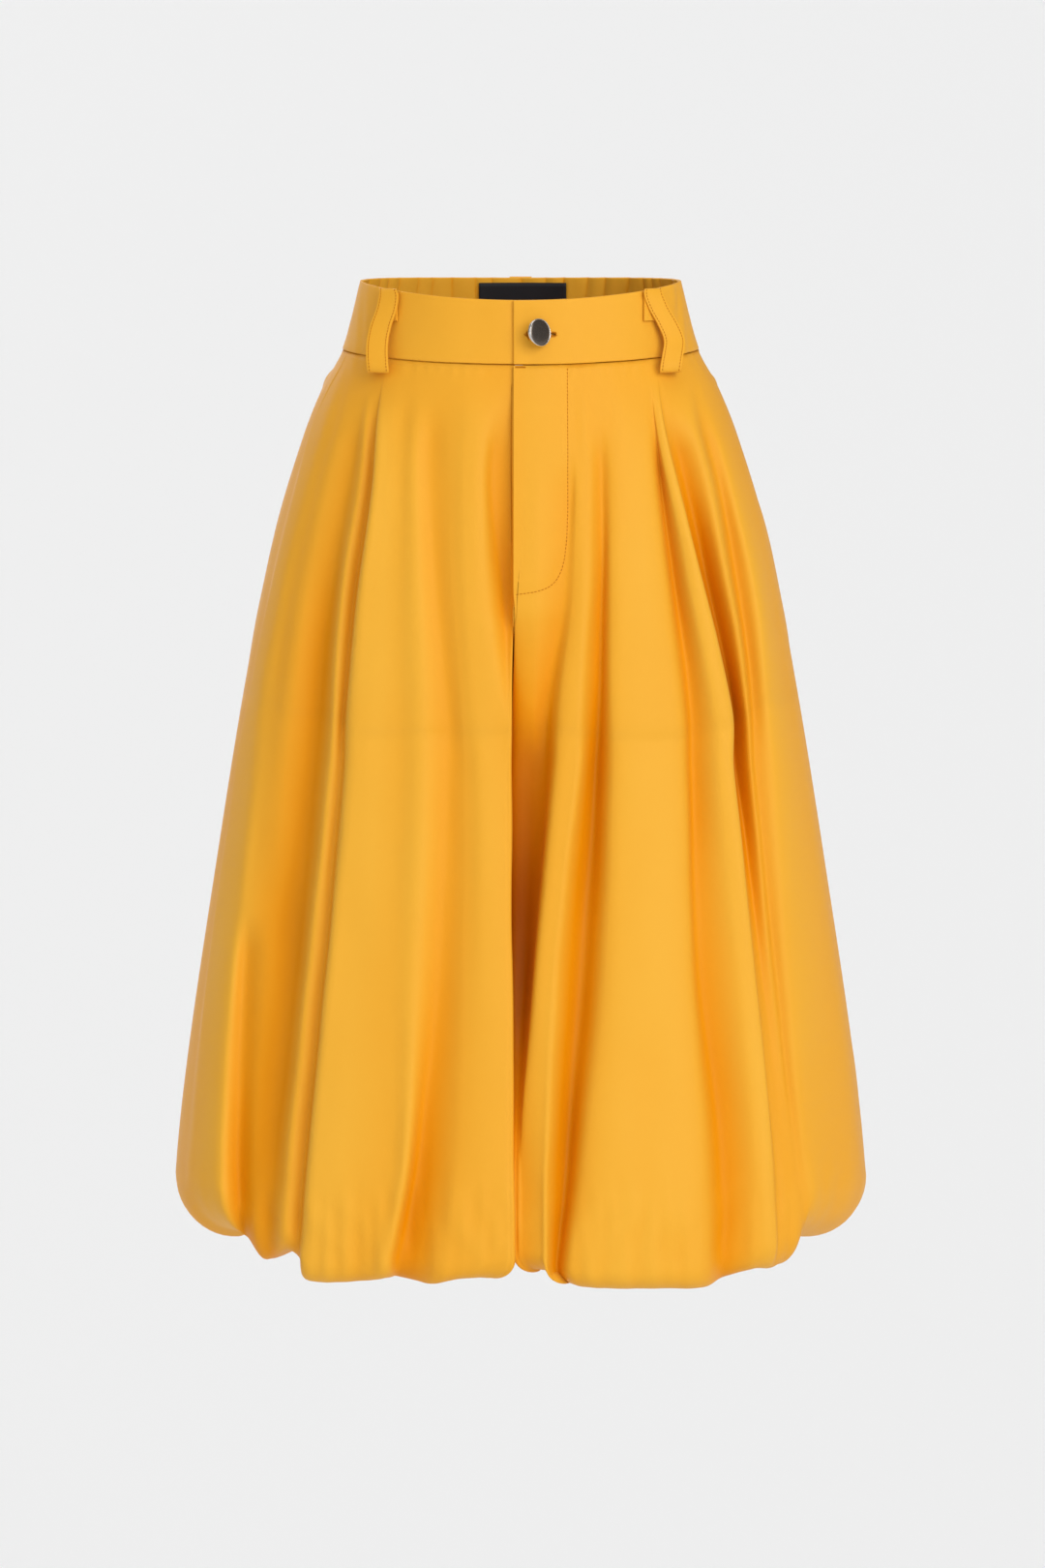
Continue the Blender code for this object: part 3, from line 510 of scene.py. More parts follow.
def soft_drift(across, drop, side, facing):
    """Long shallow unevenness of hanging cloth."""
    broad = unevenness(across / 38, drop / 150, 7 * side + 3 * facing)
    small = unevenness(across / 17, drop / 60, 11 * side + 5 * facing)
    return (0.9 if facing == FRONT else 2.4) * broad + (0.3 if facing == FRONT else 1.0) * small


def panel_rows(folds, side, facing):
    """A panel's rows of points, from the waist seam round the hem, and how proud each is."""
    folded = section_table(folds, side, facing)
    plain = section_table(folds, side, facing, flat=True)
    columns = range(len(folded[0]))
    pivot = CENTRE_X + side * ROLL_CENTRE_X
    rows, crests = [], []
    tops, starts, lifts, rolls = [], [], [], []
    for column in columns:
        at_seam, lift = read_column(folded, column, BAND_HEIGHT)
        share = min(abs(at_seam.x) / body(BAND_HEIGHT).half_width, 1.0)
        tops.append(seam_drop(share, facing) + WAIST_SEAM_GAP)
        lift += LIFT_WANDER * unevenness(at_seam.x / LIFT_WAVE, side, facing)
        lifts.append(lift)
        at_hem, _ = read_column(plain, column, ROLL_END)
        rolls.append(FRONT_ROLL + (SIDE_ROLL - FRONT_ROLL)
                     * ease((abs(at_hem.x) - SIDE_ROLL_START) / SIDE_ROLL_RUN))
        starts.append(HEM_DROP - lift - rolls[-1])
    for step in range(PANEL_ROWS):
        share = step / (PANEL_ROWS - 1)
        row, proud = [], []
        for column in columns:
            drop = tops[column] + (starts[column] - tops[column]) * share
            point, _ = read_column(folded, column, drop)
            _, normal = form(point.x, drop, facing)
            inner = row[0] if row else point
            calm = (ease((point - inner).length / EDGE_CALM)
                    * ease((len(columns) - 1 - column) / SIDE_CALM_COLUMNS))
            out = soft_drift(abs(point.x), drop, side, facing)
            out *= ease((drop - tops[column]) / SEAM_CALM)
            out += pucker_out(abs(point.x), drop - tops[column], side, facing)
            out += hem_pucker(abs(point.x), drop, side, facing)
            raised = fly_raise(point.x, drop, side) if facing == FRONT else 0.0
            row.append(point + normal * (out * calm + raised))
            # How proud the point lies over the plain cloth; the cloth paints shade in troughs and
            # sheen on crests from it.
            level, _ = read_column(plain, column, drop)
            proud.append((point - level).dot(normal) + out)
        rows.append(row)
        crests.append(proud)
    last = rows[-1]
    ring_row = int((ROLL_END - SECTION_TOP) / SECTION_STEP) + RING_BELOW
    ring = plain[min(ring_row, SECTION_COUNT - 1)]
    for step in range(1, ROLL_ROWS + 1):
        angle = pi * step / ROLL_ROWS
        row = []
        for column in columns:
            start = last[column]
            row.append(roll_point(start, ring[column], angle, pivot, side, HEM_DROP - lifts[column],
                                  rolls[column]))
        rows.append(row)
        crests.append(crests[-1])
    return rows, crests


def roll_point(start, plain, angle, pivot, side, bottom, roll):
    """A point of the hem's roll: out and under to its lowest line, then up to the band."""
    turned_in = roll * (1.0 - cos(min(angle, pi / 2)))
    round_leg = min(max((start.x - CENTRE_X) * side / LEG_SPAN, 0.0), 1.0)
    sideways = -cos(pi * round_leg)
    x = start.x - side * turned_in * sideways ** 3
    y = start.y * (1.0 - turned_in / ROLL_TAPER)
    drop = bottom - roll * (1.0 - sin(min(angle, pi / 2)))
    if angle > pi / 2:
        inwards = -cos(angle)
        keep = 1.0 - RING_SHRINK
        x += (pivot + (plain.x - pivot) * keep - x) * inwards
        y += (plain.y * keep - y) * inwards
        drop = bottom - (bottom - ROLL_END) * (1.0 - sin(angle))
    if abs(start.y) < SEAM_GAP:
        y = start.y
    return Vector((x, y, -drop))


# %% [markdown]
# ## From rows of points to cloth
# A grid primitive is moved onto the rows, and gets a UV map in real metres along its own
# threads, so that the weave keeps its size. A Solidify modifier then gives the cloth its
# thickness. The normals are made to point outwards before that.

# %% Cloth from a grid
CLOTH_WALL = 0.8
BAND_WALL = 2.2
LOWEST_CREST, HIGHEST_CREST, PLAIN_CREST = -36.0, 4.0, 1.5
CREST_SPAN = HIGHEST_CREST - LOWEST_CREST
shorts = bpy.data.collections.new("bubble_hem_shorts")
bpy.context.scene.collection.children.link(shorts)


def thread_lengths(rows):
    """How far each point lies along its row and down its column, in metres."""
    along, down = [], [[0.0] * len(rows[0])]
    for row in rows:
        run = [0.0]
        for here, there in zip(row, row[1:]):
            run.append(run[-1] + (there - here).length * MM)
        along.append([value - run[-1] / 2 for value in run])
    for above, below in zip(rows, rows[1:]):
        down.append([value + (b - a).length * MM for value, a, b in zip(down[-1], above, below)])
    return along, down


def in_metres(point):
    """A place in the scene for a point drawn in millimetres from the rim's side."""
    return Vector((point.x, point.y, point.z + ORIGIN_DROP)) * MM


def mesh_data(name, mesh):
    """Turn a bmesh into mesh data and free it."""
    data = bpy.data.meshes.new(name)
    mesh.to_mesh(data)
    mesh.free()
    return data


def place_object(name, data, finish):
    """Link a finished mesh as an object at the origin, with its material."""
    data.materials.append(finish)
    thing = bpy.data.objects.new(name, data)
    shorts.objects.link(thing)
    return thing


def cloth_grid(name, rows, wall, finish, faces_out, closed=False, smooth_edges=0.0, crests=None):
    """A thin cloth shell through rows of points given in millimetres."""
    count_down = len(rows) - 1
    count_across = len(rows[0]) - 1
    along, down = thread_lengths(rows)
    mesh = bmesh.new()
    bmesh.ops.create_grid(mesh, x_segments=count_across, y_segments=count_down, size=1.0)
    threads = mesh.loops.layers.uv.new("Threads")
    crest = mesh.verts.layers.float.new("Crest")
    for face in mesh.faces:
        face.smooth = True
        for loop in face.loops:
            column = round((loop.vert.co.x + 1) / 2 * count_across)
            row = round((loop.vert.co.y + 1) / 2 * count_down)
            loop[threads].uv = (along[row][column], down[row][column])
    for vertex in mesh.verts:
        column = round((vertex.co.x + 1) / 2 * count_across)
        row = round((vertex.co.y + 1) / 2 * count_down)
        vertex.co = in_metres(rows[row][column])
        # The attribute "Crest" carries how proud the point lies: the mask for the cloth's painted
        # shade and sheen.
        proud = crests[row][column] if crests else PLAIN_CREST
        vertex[crest] = min(max((proud - LOWEST_CREST) / CREST_SPAN, 0.0), 1.0)
    if closed:
        bmesh.ops.remove_doubles(mesh, verts=mesh.verts, dist=0.00001)
    mesh.normal_update()
    outwards = sum(face.normal.dot(faces_out(face.calc_center_median())) * face.calc_area()
                   for face in mesh.faces)
    if outwards < 0:
        bmesh.ops.reverse_faces(mesh, faces=mesh.faces)
    thing = place_object(name, mesh_data(name, mesh), finish)
    shell = thing.modifiers.new("Thickness", "SOLIDIFY")
    shell.thickness = wall * MM
    shell.offset = 0.0
    if smooth_edges:
        edges = thing.modifiers.new("Soft edges", "BEVEL")
        edges.width = smooth_edges * MM
        edges.segments = 3
        edges.limit_method = "ANGLE"
        edges.angle_limit = radians(50)
    return thing


def from_axis(place):
    """Outwards from the middle of the garment."""
    return Vector((place.x, place.y, 0.0))


# %% [markdown]
# ## The marigold twill
# The cloth is a fine twill with a soft satin gloss: smooth from afar, with diagonal lines
# a fraction of a millimetre apart close up. The node maths is written as plain Python
# expressions on a small wrapper, which keeps a long recipe readable.

# %% A small wrapper for shader sockets
class Value:
    """A number or vector socket of a material's nodes, used like a plain number."""

    def __init__(self, recipe, socket):
        self.recipe = recipe
        self.socket = socket

    def maths(self, how, other=None, swapped=False):
        """One Math node on this value and, for most kinds, another one."""
        pair = (other, self) if swapped else (self, other)
        inputs = {index: value for index, value in enumerate(pair) if value is not None}
        return self.recipe.node("ShaderNodeMath", {"operation": how, "use_clamp": False}, inputs)

    def __add__(self, other):
        return self.maths("ADD", other)

    def __sub__(self, other):
        return self.maths("SUBTRACT", other)

    def __rsub__(self, other):
        return self.maths("SUBTRACT", other, swapped=True)

    def __mul__(self, other):
        return self.maths("MULTIPLY", other)

    def __truediv__(self, other):
        return self.maths("DIVIDE", other)

    __radd__ = __add__
    __rmul__ = __mul__

    def wave(self):
        """Sine of the value."""
        return self.maths("SINE")


class Recipe:
    """Builds the nodes of one material."""

    def __init__(self, name):
        self.material = bpy.data.materials.new(name)
        self.material.use_nodes = True
        self.tree = self.material.node_tree
        self.shader = self.tree.nodes["Principled BSDF"]

    def node(self, kind, settings=None, inputs=None, output=0):
        """Add a node; inputs are numbers, colours or Value objects."""
        made = self.tree.nodes.new(kind)
        for key, value in (settings or {}).items():
            setattr(made, key, value)
        for key, value in (inputs or {}).items():
            if isinstance(value, Value):
                self.tree.links.new(value.socket, made.inputs[key])
            else:
                made.inputs[key].default_value = value
        return Value(self, made.outputs[output])

    def place(self, output="Object"):
        """Where the surface is: Object in metres, or UV along the threads."""
        return self.node("ShaderNodeTexCoord", output=output)

    def parts(self, vector):
        """The three numbers of a vector."""
        return [self.node("ShaderNodeSeparateXYZ", inputs={0: vector}, output=axis)
                for axis in "XYZ"]

    def stretched(self, vector, scale):
        """A vector multiplied along each axis."""
        return self.node("ShaderNodeVectorMath", {"operation": "MULTIPLY"}, {0: vector, 1: scale})

    def clouds(self, vector, scale, detail=3.0, roughness=0.5):
        """Soft random values around 0.5."""
        return self.node("ShaderNodeTexNoise", inputs={
            "Vector": vector, "Scale": scale, "Detail": detail, "Roughness": roughness})

    def blend(self, share, low, high):
        """A colour between two colours."""
        return self.node("ShaderNodeMix", {"data_type": "RGBA"}, {0: share, 6: low, 7: high},
                         output=2)

    def bump(self, height, distance, strength=1.0, base=None):
        """Small relief from a height."""
        inputs = {"Height": height, "Distance": distance, "Strength": strength}
        if base is not None:
            inputs["Normal"] = base
        return self.node("ShaderNodeBump", inputs=inputs)

    def finish(self, **sockets):
        """Set the shader's own sockets and return the material."""
        for name, value in sockets.items():
            socket = self.shader.inputs[name.replace("_", " ").title().replace("Ior", "IOR")]
            if isinstance(value, Value):
                self.tree.links.new(value.socket, socket)
            else:
                socket.default_value = value
        return self.material


# %% [markdown]
# Two clouds of slow colour change keep the cloth from looking like plastic: one for the
# dye, one stretched along the threads. Shade and sheen are painted into the colour from how
# proud each point of the cloth lies, read from the attribute "Crest". The troughs get a
# painted deeper yellow in place of the light that bounces about in a fold. The deepest
# recess between the legs gets a painted burnt-orange shade, and the crests a paler colour
# with a painted sheen. The twill's ribs are a sine across the diagonal, and a rough
# highlight under a pale sheen gives the soft gloss.

# %% Cloth material
# Colours of the painted shade in the deepest recess and in the troughs, and of the crests with a
# painted sheen.
PAINTED_RECESS_SHADE_MARIGOLD = (0.42, 0.10, 0.0001, 1.0)
PAINTED_TROUGH_SHADE_MARIGOLD = (0.745, 0.266, 0.0002, 1.0)
CREST_MARIGOLD_PAINTED_SHEEN = (0.77, 0.388, 0.033, 1.0)
RIBS_PER_METRE, RIB_SLANT = 1500.0, 0.7
CLOTH_GLOSS = 0.42
# Heights in mm: at the first the painted shade is darkest, at the second the trough shade begins to
# give way to the crest colour.
DEEPEST_PAINTED_SHADE, TROUGH_PAINTED_SHADE = -34.0, -9.0


def twill(name, recess, deep, light, gloss=CLOTH_GLOSS):
    """Smooth satin-faced twill, with its ribs along the piece's own threads."""
    recipe = Recipe(name)
    threads = recipe.place("UV")
    across, down, _ = recipe.parts(threads)
    dye = recipe.clouds(recipe.place(), 9.0, 3.0)
    slubs = recipe.clouds(recipe.stretched(threads, (900.0, 120.0, 1.0)), 1.0, 4.0, 0.6)
    ribs = ((across + RIB_SLANT * down) * (2 * pi * RIBS_PER_METRE)).wave()
    weave = ribs * 0.5 + slubs
    crest = recipe.node("ShaderNodeAttribute", {"attribute_name": "Crest"}, output=2)
    height = crest * CREST_SPAN + LOWEST_CREST
    # Painted shade: the deeper a trough, the darker its colour, down to a burnt orange in the
    # deepest recess.
    shade = recipe.blend(1 - (height - DEEPEST_PAINTED_SHADE) / (TROUGH_PAINTED_SHADE - DEEPEST_PAINTED_SHADE), deep, recess)
    # Painted sheen: the prouder a point, the paler and bluer its colour.
    out_of_fold = (height - TROUGH_PAINTED_SHADE) / (HIGHEST_CREST - TROUGH_PAINTED_SHADE)
    colour = recipe.blend(out_of_fold * 0.8 + 0.2 * dye + 0.12 * slubs - 0.06, shade, light)
    crumple = recipe.bump(recipe.clouds(recipe.place(), 26.0, 4.0), 0.0016, 0.25)
    relief = recipe.bump(weave, 0.00012, 0.35, base=crumple)
    return recipe.finish(
        base_color=colour, roughness=gloss + 0.1 * slubs, normal=relief,
        specular_ior_level=0.13, sheen_weight=0.02, sheen_roughness=0.35,
        sheen_tint=(1.0, 0.86, 0.55, 1.0))


cloth = twill("Marigold twill", PAINTED_RECESS_SHADE_MARIGOLD, PAINTED_TROUGH_SHADE_MARIGOLD, CREST_MARIGOLD_PAINTED_SHEEN)
print("cloth nodes:", len(cloth.node_tree.nodes))

# %% [markdown]
# ## The four leg panels
# Two fronts and two backs. Each one rolls under at the hem and climbs inside to the narrow
# hem band, which gives the hem its rounded, puffed look. The size each cloth would have if
# it were laid flat, measured along its own threads, is printed.

# %% Leg panels
def wear(piece, slot, *nodes):
    """Let a piece ride with the garment, in place of its CAD nodes."""
    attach(piece, "root")
    if nodes:
        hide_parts(*nodes)


def declare_cloth(piece, rows):
    """Print a cloth's width, length and area when laid flat."""
    along, down = thread_lengths(rows)
    width = max(row[-1] - row[0] for row in along)
    length = max(down[-1])
    area = sum(face.area for face in piece.data.polygons)
    min(area, width * length)
    print(piece.name, round(width, 3), "x", round(length, 3), "m,", round(area, 4), "sq m")


panels, panel_points = {}, {}
for piece_name, node_name, folds, side, facing in (
        ("left_front", "front_left", FRONT_LEFT, LEFT, FRONT),
        ("right_front", "front_right", FRONT_RIGHT, RIGHT, FRONT),
        ("left_back", "back_left", BACK_LEFT, LEFT, BACK),
        ("right_back", "back_right", BACK_RIGHT, RIGHT, BACK)):
    rows, crests = panel_rows(folds, side, facing)
    piece = cloth_grid(piece_name, rows, CLOTH_WALL, cloth, from_axis, crests=crests)
    print(piece_name, "triangles with its thickness:", 4 * len(piece.data.polygons))
    panels[piece_name] = piece
    panel_points[piece_name] = rows
    wear(piece, "cloth", node_name)
    declare_cloth(piece, rows)

# %% [markdown]
# ## Seam inside the rise
# The two legs are joined by one seam that runs from the fly, under the crotch and up the
# back. Its allowances stand inwards together as a narrow fin, which also closes the seam
# against light.

# %% Rise seam allowance
FIN_REACH = (0.4, 4.0, 7.5, 11.0)
FIN_STEP = 4.0
FIN_WALL = 0.8


def rise_point(drop, facing):
    """Middle of the rise seam at a drop."""
    size = body(drop)
    return (inner_edge(drop, LEFT, facing, size) + inner_edge(drop, RIGHT, facing, size)) / 2


front_run = [rise_point(FLY_BOTTOM + CROSS_RUN + FIN_STEP * step, FRONT) for step in range(22)]
back_run = [rise_point(BAND_HEIGHT + 6 + FIN_STEP * step, BACK) for step in range(64)]
rise = front_run + back_run[::-1]
fin_rows = [[] for _ in FIN_REACH]
for index, point in enumerate(rise):
    ahead = rise[min(index + 1, len(rise) - 1)] - rise[max(index - 1, 0)]
    inwards = Vector((0.0, -ahead.z, ahead.y)).normalized()
    for row, reach in zip(fin_rows, FIN_REACH):
        row.append(point + inwards * reach)
rise_seam = cloth_grid("rise_seam_allowance", fin_rows, FIN_WALL, cloth,
                       lambda place: Vector((1.0, 0.0, 0.0)))
wear(rise_seam, "cloth")
declare_cloth(rise_seam, fin_rows)

# %% [markdown]
# ## Side seams
# The side seams have allowances too. Each is one narrow strip on edge behind the seam, from
# the rim down and round the hem, so that no light comes through between front and back.

# %% Side seam allowances
SIDE_FIN_REACH = (0.2, 4.0, 7.6, 11.2)
SIDE_FIN_WALL = 0.62
SIDE_FIN_TOP = (2.0, 13.0, 24.0, 35.0, 47.0)

for side_name, side in (("left", LEFT), ("right", RIGHT)):
    seam = [Vector((side * body(drop).half_width, 0.0, -drop)) for drop in SIDE_FIN_TOP]
    sewn = [(front_row[-1], back_row[-1]) for front_row, back_row in zip(
        panel_points[side_name + "_front"], panel_points[side_name + "_back"])]
    seam += [(front + back) / 2 for front, back in sewn]
    fin_rows = [[] for _ in SIDE_FIN_REACH]
    for index, point in enumerate(seam):
        ahead = seam[min(index + 1, len(seam) - 1)] - seam[max(index - 1, 0)]
        inwards = Vector((side * ahead.z, 0.0, -side * ahead.x)).normalized()
        for row, reach in zip(fin_rows, SIDE_FIN_REACH):
            row.append(point + inwards * reach)
    side_seam = cloth_grid(side_name + "_side_seam_allowance", fin_rows, SIDE_FIN_WALL, cloth,
                           lambda place: Vector((0.0, 1.0, 0.0)))
    wear(side_seam, "cloth")
    declare_cloth(side_seam, fin_rows)
    gap = max((front - back).length for front, back in sewn)
    print(side_name, "side seam gap at most", round(gap, 2), "mm")

# %% [markdown]
# ## Hem bands
# A plain ring of the same cloth stands inside each leg. The wide panels are gathered onto
# its lower edge, so it keeps small puckers there.

# %% Hem bands
HEM_BAND_HEIGHT = 28.0
HEM_BAND_ROWS = 9
HEM_PUCKER, HEM_PUCKER_WAVE = 0.5, 0.55

for leg, node_name, side in (("left", "hem_band_left", LEFT), ("right", "hem_band_right", RIGHT)):
    front = panel_points[leg + "_front"][-1]
    back = panel_points[leg + "_back"][-1]
    ring = front[:-1] + list(reversed(back[1:-1])) + [front[0]]
    middle = sum(ring, Vector((0.0, 0.0, 0.0))) / len(ring)
    rows = []
    for step in range(HEM_BAND_ROWS):
        down = step / (HEM_BAND_ROWS - 1)
        drop = ROLL_END - SEAM_GAP - HEM_BAND_HEIGHT * (1.0 - down)
        row = []
        for index, point in enumerate(ring):
            outwards = Vector((point.x - middle.x, point.y - middle.y, 0.0)).normalized()
            wave = sin(index * HEM_PUCKER_WAVE + 2.0 * unevenness(index / 11, side, 1.0))
            fade = ease(min(index, len(ring) - 1 - index) / 8)
            place = point + outwards * HEM_PUCKER * wave * down * fade
            row.append(Vector((place.x, place.y, -drop)))
        rows.append(row)
    piece = cloth_grid(leg + "_inner_hem", rows, CLOTH_WALL, cloth,
                       lambda place, centre=middle: Vector((place.x - centre.x * MM,
                                                            place.y - centre.y * MM, 0.0)),
                       closed=True)
    wear(piece, "cloth", node_name)
    declare_cloth(piece, rows)

# %% [markdown]
# ## Waistband
# The front of the band is flat and shaped, in two halves that lap at the fly. It is folded
# double over interfacing, so its edges are rounded. The back is a tunnel for elastic, which
# draws it up into narrow upright creases.

# %% Front waistband
BAND_ROWS = 15
FRONT_BAND_COLUMNS = 110
BAND_EDGE = 0.8
BAND_LAP = 1.3
BAND_UNDERLAP_X = 32.0
WRINKLE_AT, WRINKLE_SLANT, WRINKLE_REACH, WRINKLE_WAVE = 108.0, 10.0, 12.0, 7.0


def band_point(turn, share, facing, out):
    """A point of the waistband: turn is the angle round from the centre, in radians."""
    reach = abs(sin(turn))
    drop = rim_drop(reach, facing) * (1 - share) + seam_drop(reach, facing) * share
    point, normal = form(body(drop).half_width * sin(turn), drop, facing)
    return point + normal * out


def band_ripple(reach, share, side):
    """Soft upright ripples, and a few slanting wrinkles towards the side seam."""
    ripple = 0.4 * unevenness(reach / 15, share * 0.9, side * 2.0)
    place = reach - WRINKLE_AT + WRINKLE_SLANT * (share - 0.5)
    strength = 0.55 if side == LEFT else 0.25
    ripple += strength * sin(2 * pi * place / WRINKLE_WAVE) * ease(1.0 - abs(place) / WRINKLE_REACH)
    return ripple * ease((body(0).half_width - reach) / 6)


def front_band_rows(side, edge_x):
    """Rows of half the front band, from its end at the fly to the side seam."""
    rows = []
    for down in range(BAND_ROWS):
        share = down / (BAND_ROWS - 1)
        start = side * asin(edge_x / body(BAND_HEIGHT * share).half_width)
        row = []
        for step in range(FRONT_BAND_COLUMNS + 1):
            turn = start + (pi / 2 - start) * step / FRONT_BAND_COLUMNS
            reach = abs(body(0.0).half_width * sin(turn))
            out = side * BAND_LAP * (1.0 - ease((reach - BAND_UNDERLAP_X) / LAP_FADE))
            out += band_ripple(reach, share, side)
            point = band_point(side * turn, share, FRONT, out)
            point.y -= SEAM_GAP / 2 * ease(step - FRONT_BAND_COLUMNS + 1)
            row.append(point)
        rows.append(row)
    return rows


front_bands = {}
for piece_name, node_name, side, edge_x in (
        ("left_front_band", "waistband_front_left", LEFT, FLY_EDGE_X),
        ("right_front_band", "waistband_front_right", RIGHT, BAND_UNDERLAP_X)):
    rows = front_band_rows(side, edge_x)
    piece = cloth_grid(piece_name, rows, BAND_WALL, cloth, from_axis, smooth_edges=BAND_EDGE)
    wear(piece, "cloth", node_name)
    declare_cloth(piece, rows)
    front_bands[piece_name] = piece

# %% Gathered back waistband
GATHERS = 22
GATHER_STEPS = 14
GATHER_DEPTH = 1.25
# Crest values for the band's colour: a pale crest colour with painted sheen, made darker by the
# shade factor where a gather stands out.
GATHER_CREST, GATHER_SHADE = 4.5, 10.0

gather_columns = GATHERS * GATHER_STEPS
rows, crests = [], []
for down in range(BAND_ROWS):
    share = down / (BAND_ROWS - 1)
    row, proud = [], []
    for step in range(gather_columns + 1):
        turn = -pi / 2 + pi * step / gather_columns
        fade = max(sin(pi * step / gather_columns), 0.0) ** 0.3
        wander = 3.0 * unevenness(turn * 3.1, share * 0.5, 2.0)
        phase = pi * GATHERS * step / gather_columns + wander
        depth = GATHER_DEPTH * (0.75 + 0.6 * abs(unevenness(turn * 6, share, 4.0)))
        ripple = depth * (1.0 - 2.0 * abs(sin(phase)) ** 0.7) * fade
        point = band_point(turn, share, BACK, ripple)
        point.y += SEAM_GAP / 2 * (1.0 if step in (0, gather_columns) else 0.0)
        row.append(point)
        # Painted shade: where a gather stands outwards, which is a hollow seen from inside the
        # band, its colour is made darker; the rest gets the pale crest colour with its painted
        # sheen.
        proud.append(GATHER_CREST - GATHER_SHADE * ripple)
    rows.append(row)
    crests.append(proud)
back_band = cloth_grid("gathered_back_band", rows, BAND_WALL, cloth, from_axis,
                       smooth_edges=BAND_EDGE, crests=crests)
wear(back_band, "cloth", "waistband_back")
declare_cloth(back_band, rows)

# %% [markdown]
# ## Belt loops
# Each loop is a folded strip, sewn flat at the rim. It stands off the band, leans outwards
# on its way down, twists a little to face the front, and turns under at its foot below the
# seam. The two front loops don't lean alike, as sewn loops seldom do.

# %% Belt loops
LOOP_WIDTH = 16.0
LOOP_WALL = 1.5
LOOP_ACROSS = 95.0
LOOP_SHARES = (-0.5, -0.4, -0.2, 0.0, 0.2, 0.4, 0.5)
LOOP_STITCH_COLUMNS = (1, 5)
LOOP_STEPS = 6
LOOP_OVER_TOP, LOOP_CURL_SPANS = 4, 2
LoopRow = namedtuple("LoopRow", "out drop left_lean right_lean twist")
# The leans run outwards from the loop's place; the twist turns its face to the front.
LOOP_PATH = (
    LoopRow(2.6, 22, -3, -3, 0), LoopRow(2.6, 12, -3, -3, 0), LoopRow(2.6, 3, -3, -3, 0),
    LoopRow(3.0, 0.9, -3, -3, 1), LoopRow(3.8, 0.2, -3.5, -3.5, 3), LoopRow(4.6, 1.1, -4, -4, 6),
    LoopRow(5.2, 4, -4, -4.9, 10), LoopRow(6.4, 14, -0.8, -4, 16), LoopRow(8.6, 25, 3.7, -1.6, 20),
    LoopRow(10.6, 36, 6.6, -0.4, 22), LoopRow(11.6, 45, 5.4, -0.4, 22),
    LoopRow(11.0, 52.5, 4.8, -0.2, 20), LoopRow(8.4, 57.2, 6, 1, 16), LoopRow(5.6, 57.6, 8, 3, 10),
    LoopRow(4.4, 55, 9, 4, 6))


def belt_loop_rows(across, facing):
    """Rows of a belt loop's strip, from its turned top tab to its foot."""
    side = 1.0 if across >= 0 else -1.0
    front = facing == FRONT
    top = rim_drop(across / body(0.0).half_width, facing)
    knots = [Vector((row.out, row.drop, row.left_lean if across > 0 else row.right_lean))
             for row in LOOP_PATH]
    twists = [Vector((row.twist, 0.0, 0.0)) for row in LOOP_PATH]
    steps = [LOOP_STEPS] * (len(knots) - 1)
    rows = []
    for place, twist in zip(curve_points(knots, steps), curve_points(twists, steps)):
        lean = place.z if front else 0.0
        turn = radians(twist.x) if front else 0.0
        out = place.x + (0.0 if front else 0.9)
        point, normal = form(across + side * lean, top + place.y, facing)
        tangent = Vector((-normal.y, normal.x, 0.0))
        row = []
        for share in LOOP_SHARES:
            width = LOOP_WIDTH * share
            stand = out + 0.3 * (1 - 4 * share * share) + side * width * sin(turn)
            row.append(point + normal * stand + tangent * width * cos(turn))
        rows.append(row)
    return rows


loop_points = {}
for piece_name, node_name, across, facing in (
        ("left_belt_loop", "belt_loop_front_left", LOOP_ACROSS, FRONT),
        ("right_belt_loop", "belt_loop_front_right", -LOOP_ACROSS, FRONT),
        ("back_belt_loop", "belt_loop_back", 0.0, BACK)):
    rows = belt_loop_rows(across, facing)
    piece = cloth_grid(piece_name, rows, LOOP_WALL, cloth, from_axis, smooth_edges=0.5)
    wear(piece, "cloth", node_name)
    declare_cloth(piece, rows)
    loop_points[piece_name] = rows

# %% [markdown]
# ## Behind the fly
# A facing lies behind the left front, and its stitching shows as the J on the outside. The
# zip lies between it and the shield, a plain strip that keeps the zip off the wearer.

# %% Fly facing, shield and zip tape
FACING_IN, ZIP_IN, SHIELD_IN = 2.0, 4.3, 7.8
LAYER_WALL = 0.7
J_CUT = 0.78
ZIP_X = -1.0
ZIP_WIDTH = 24.0
SHIELD_WIDTH = 40.0
SLIDER_HEIGHT = 10.0
FLY_ROWS = 56
FLY_COLUMNS = 14


def front_out(x, drop):
    """How far the front's folds stand off the plain form at a place near the fly."""
    folds = FRONT_LEFT if x >= 0 else FRONT_RIGHT
    places = [0.0] + [smooth(FRONT_STATIONS, fold.across, drop) for fold in folds[:6]]
    outs = [0.0] + [smooth(FRONT_STATIONS, fold.out, drop) * ease((drop - fold.start) / FOLD_ONSET)
                    for fold in folds[:6]]
    index = min(max(bisect_right(places, abs(x)) - 1, 0), len(places) - 2)
    gap = max(places[index + 1] - places[index], 0.1)
    share = min(max((abs(x) - places[index]) / gap, 0), 1)
    return outs[index] + (outs[index + 1] - outs[index]) * share


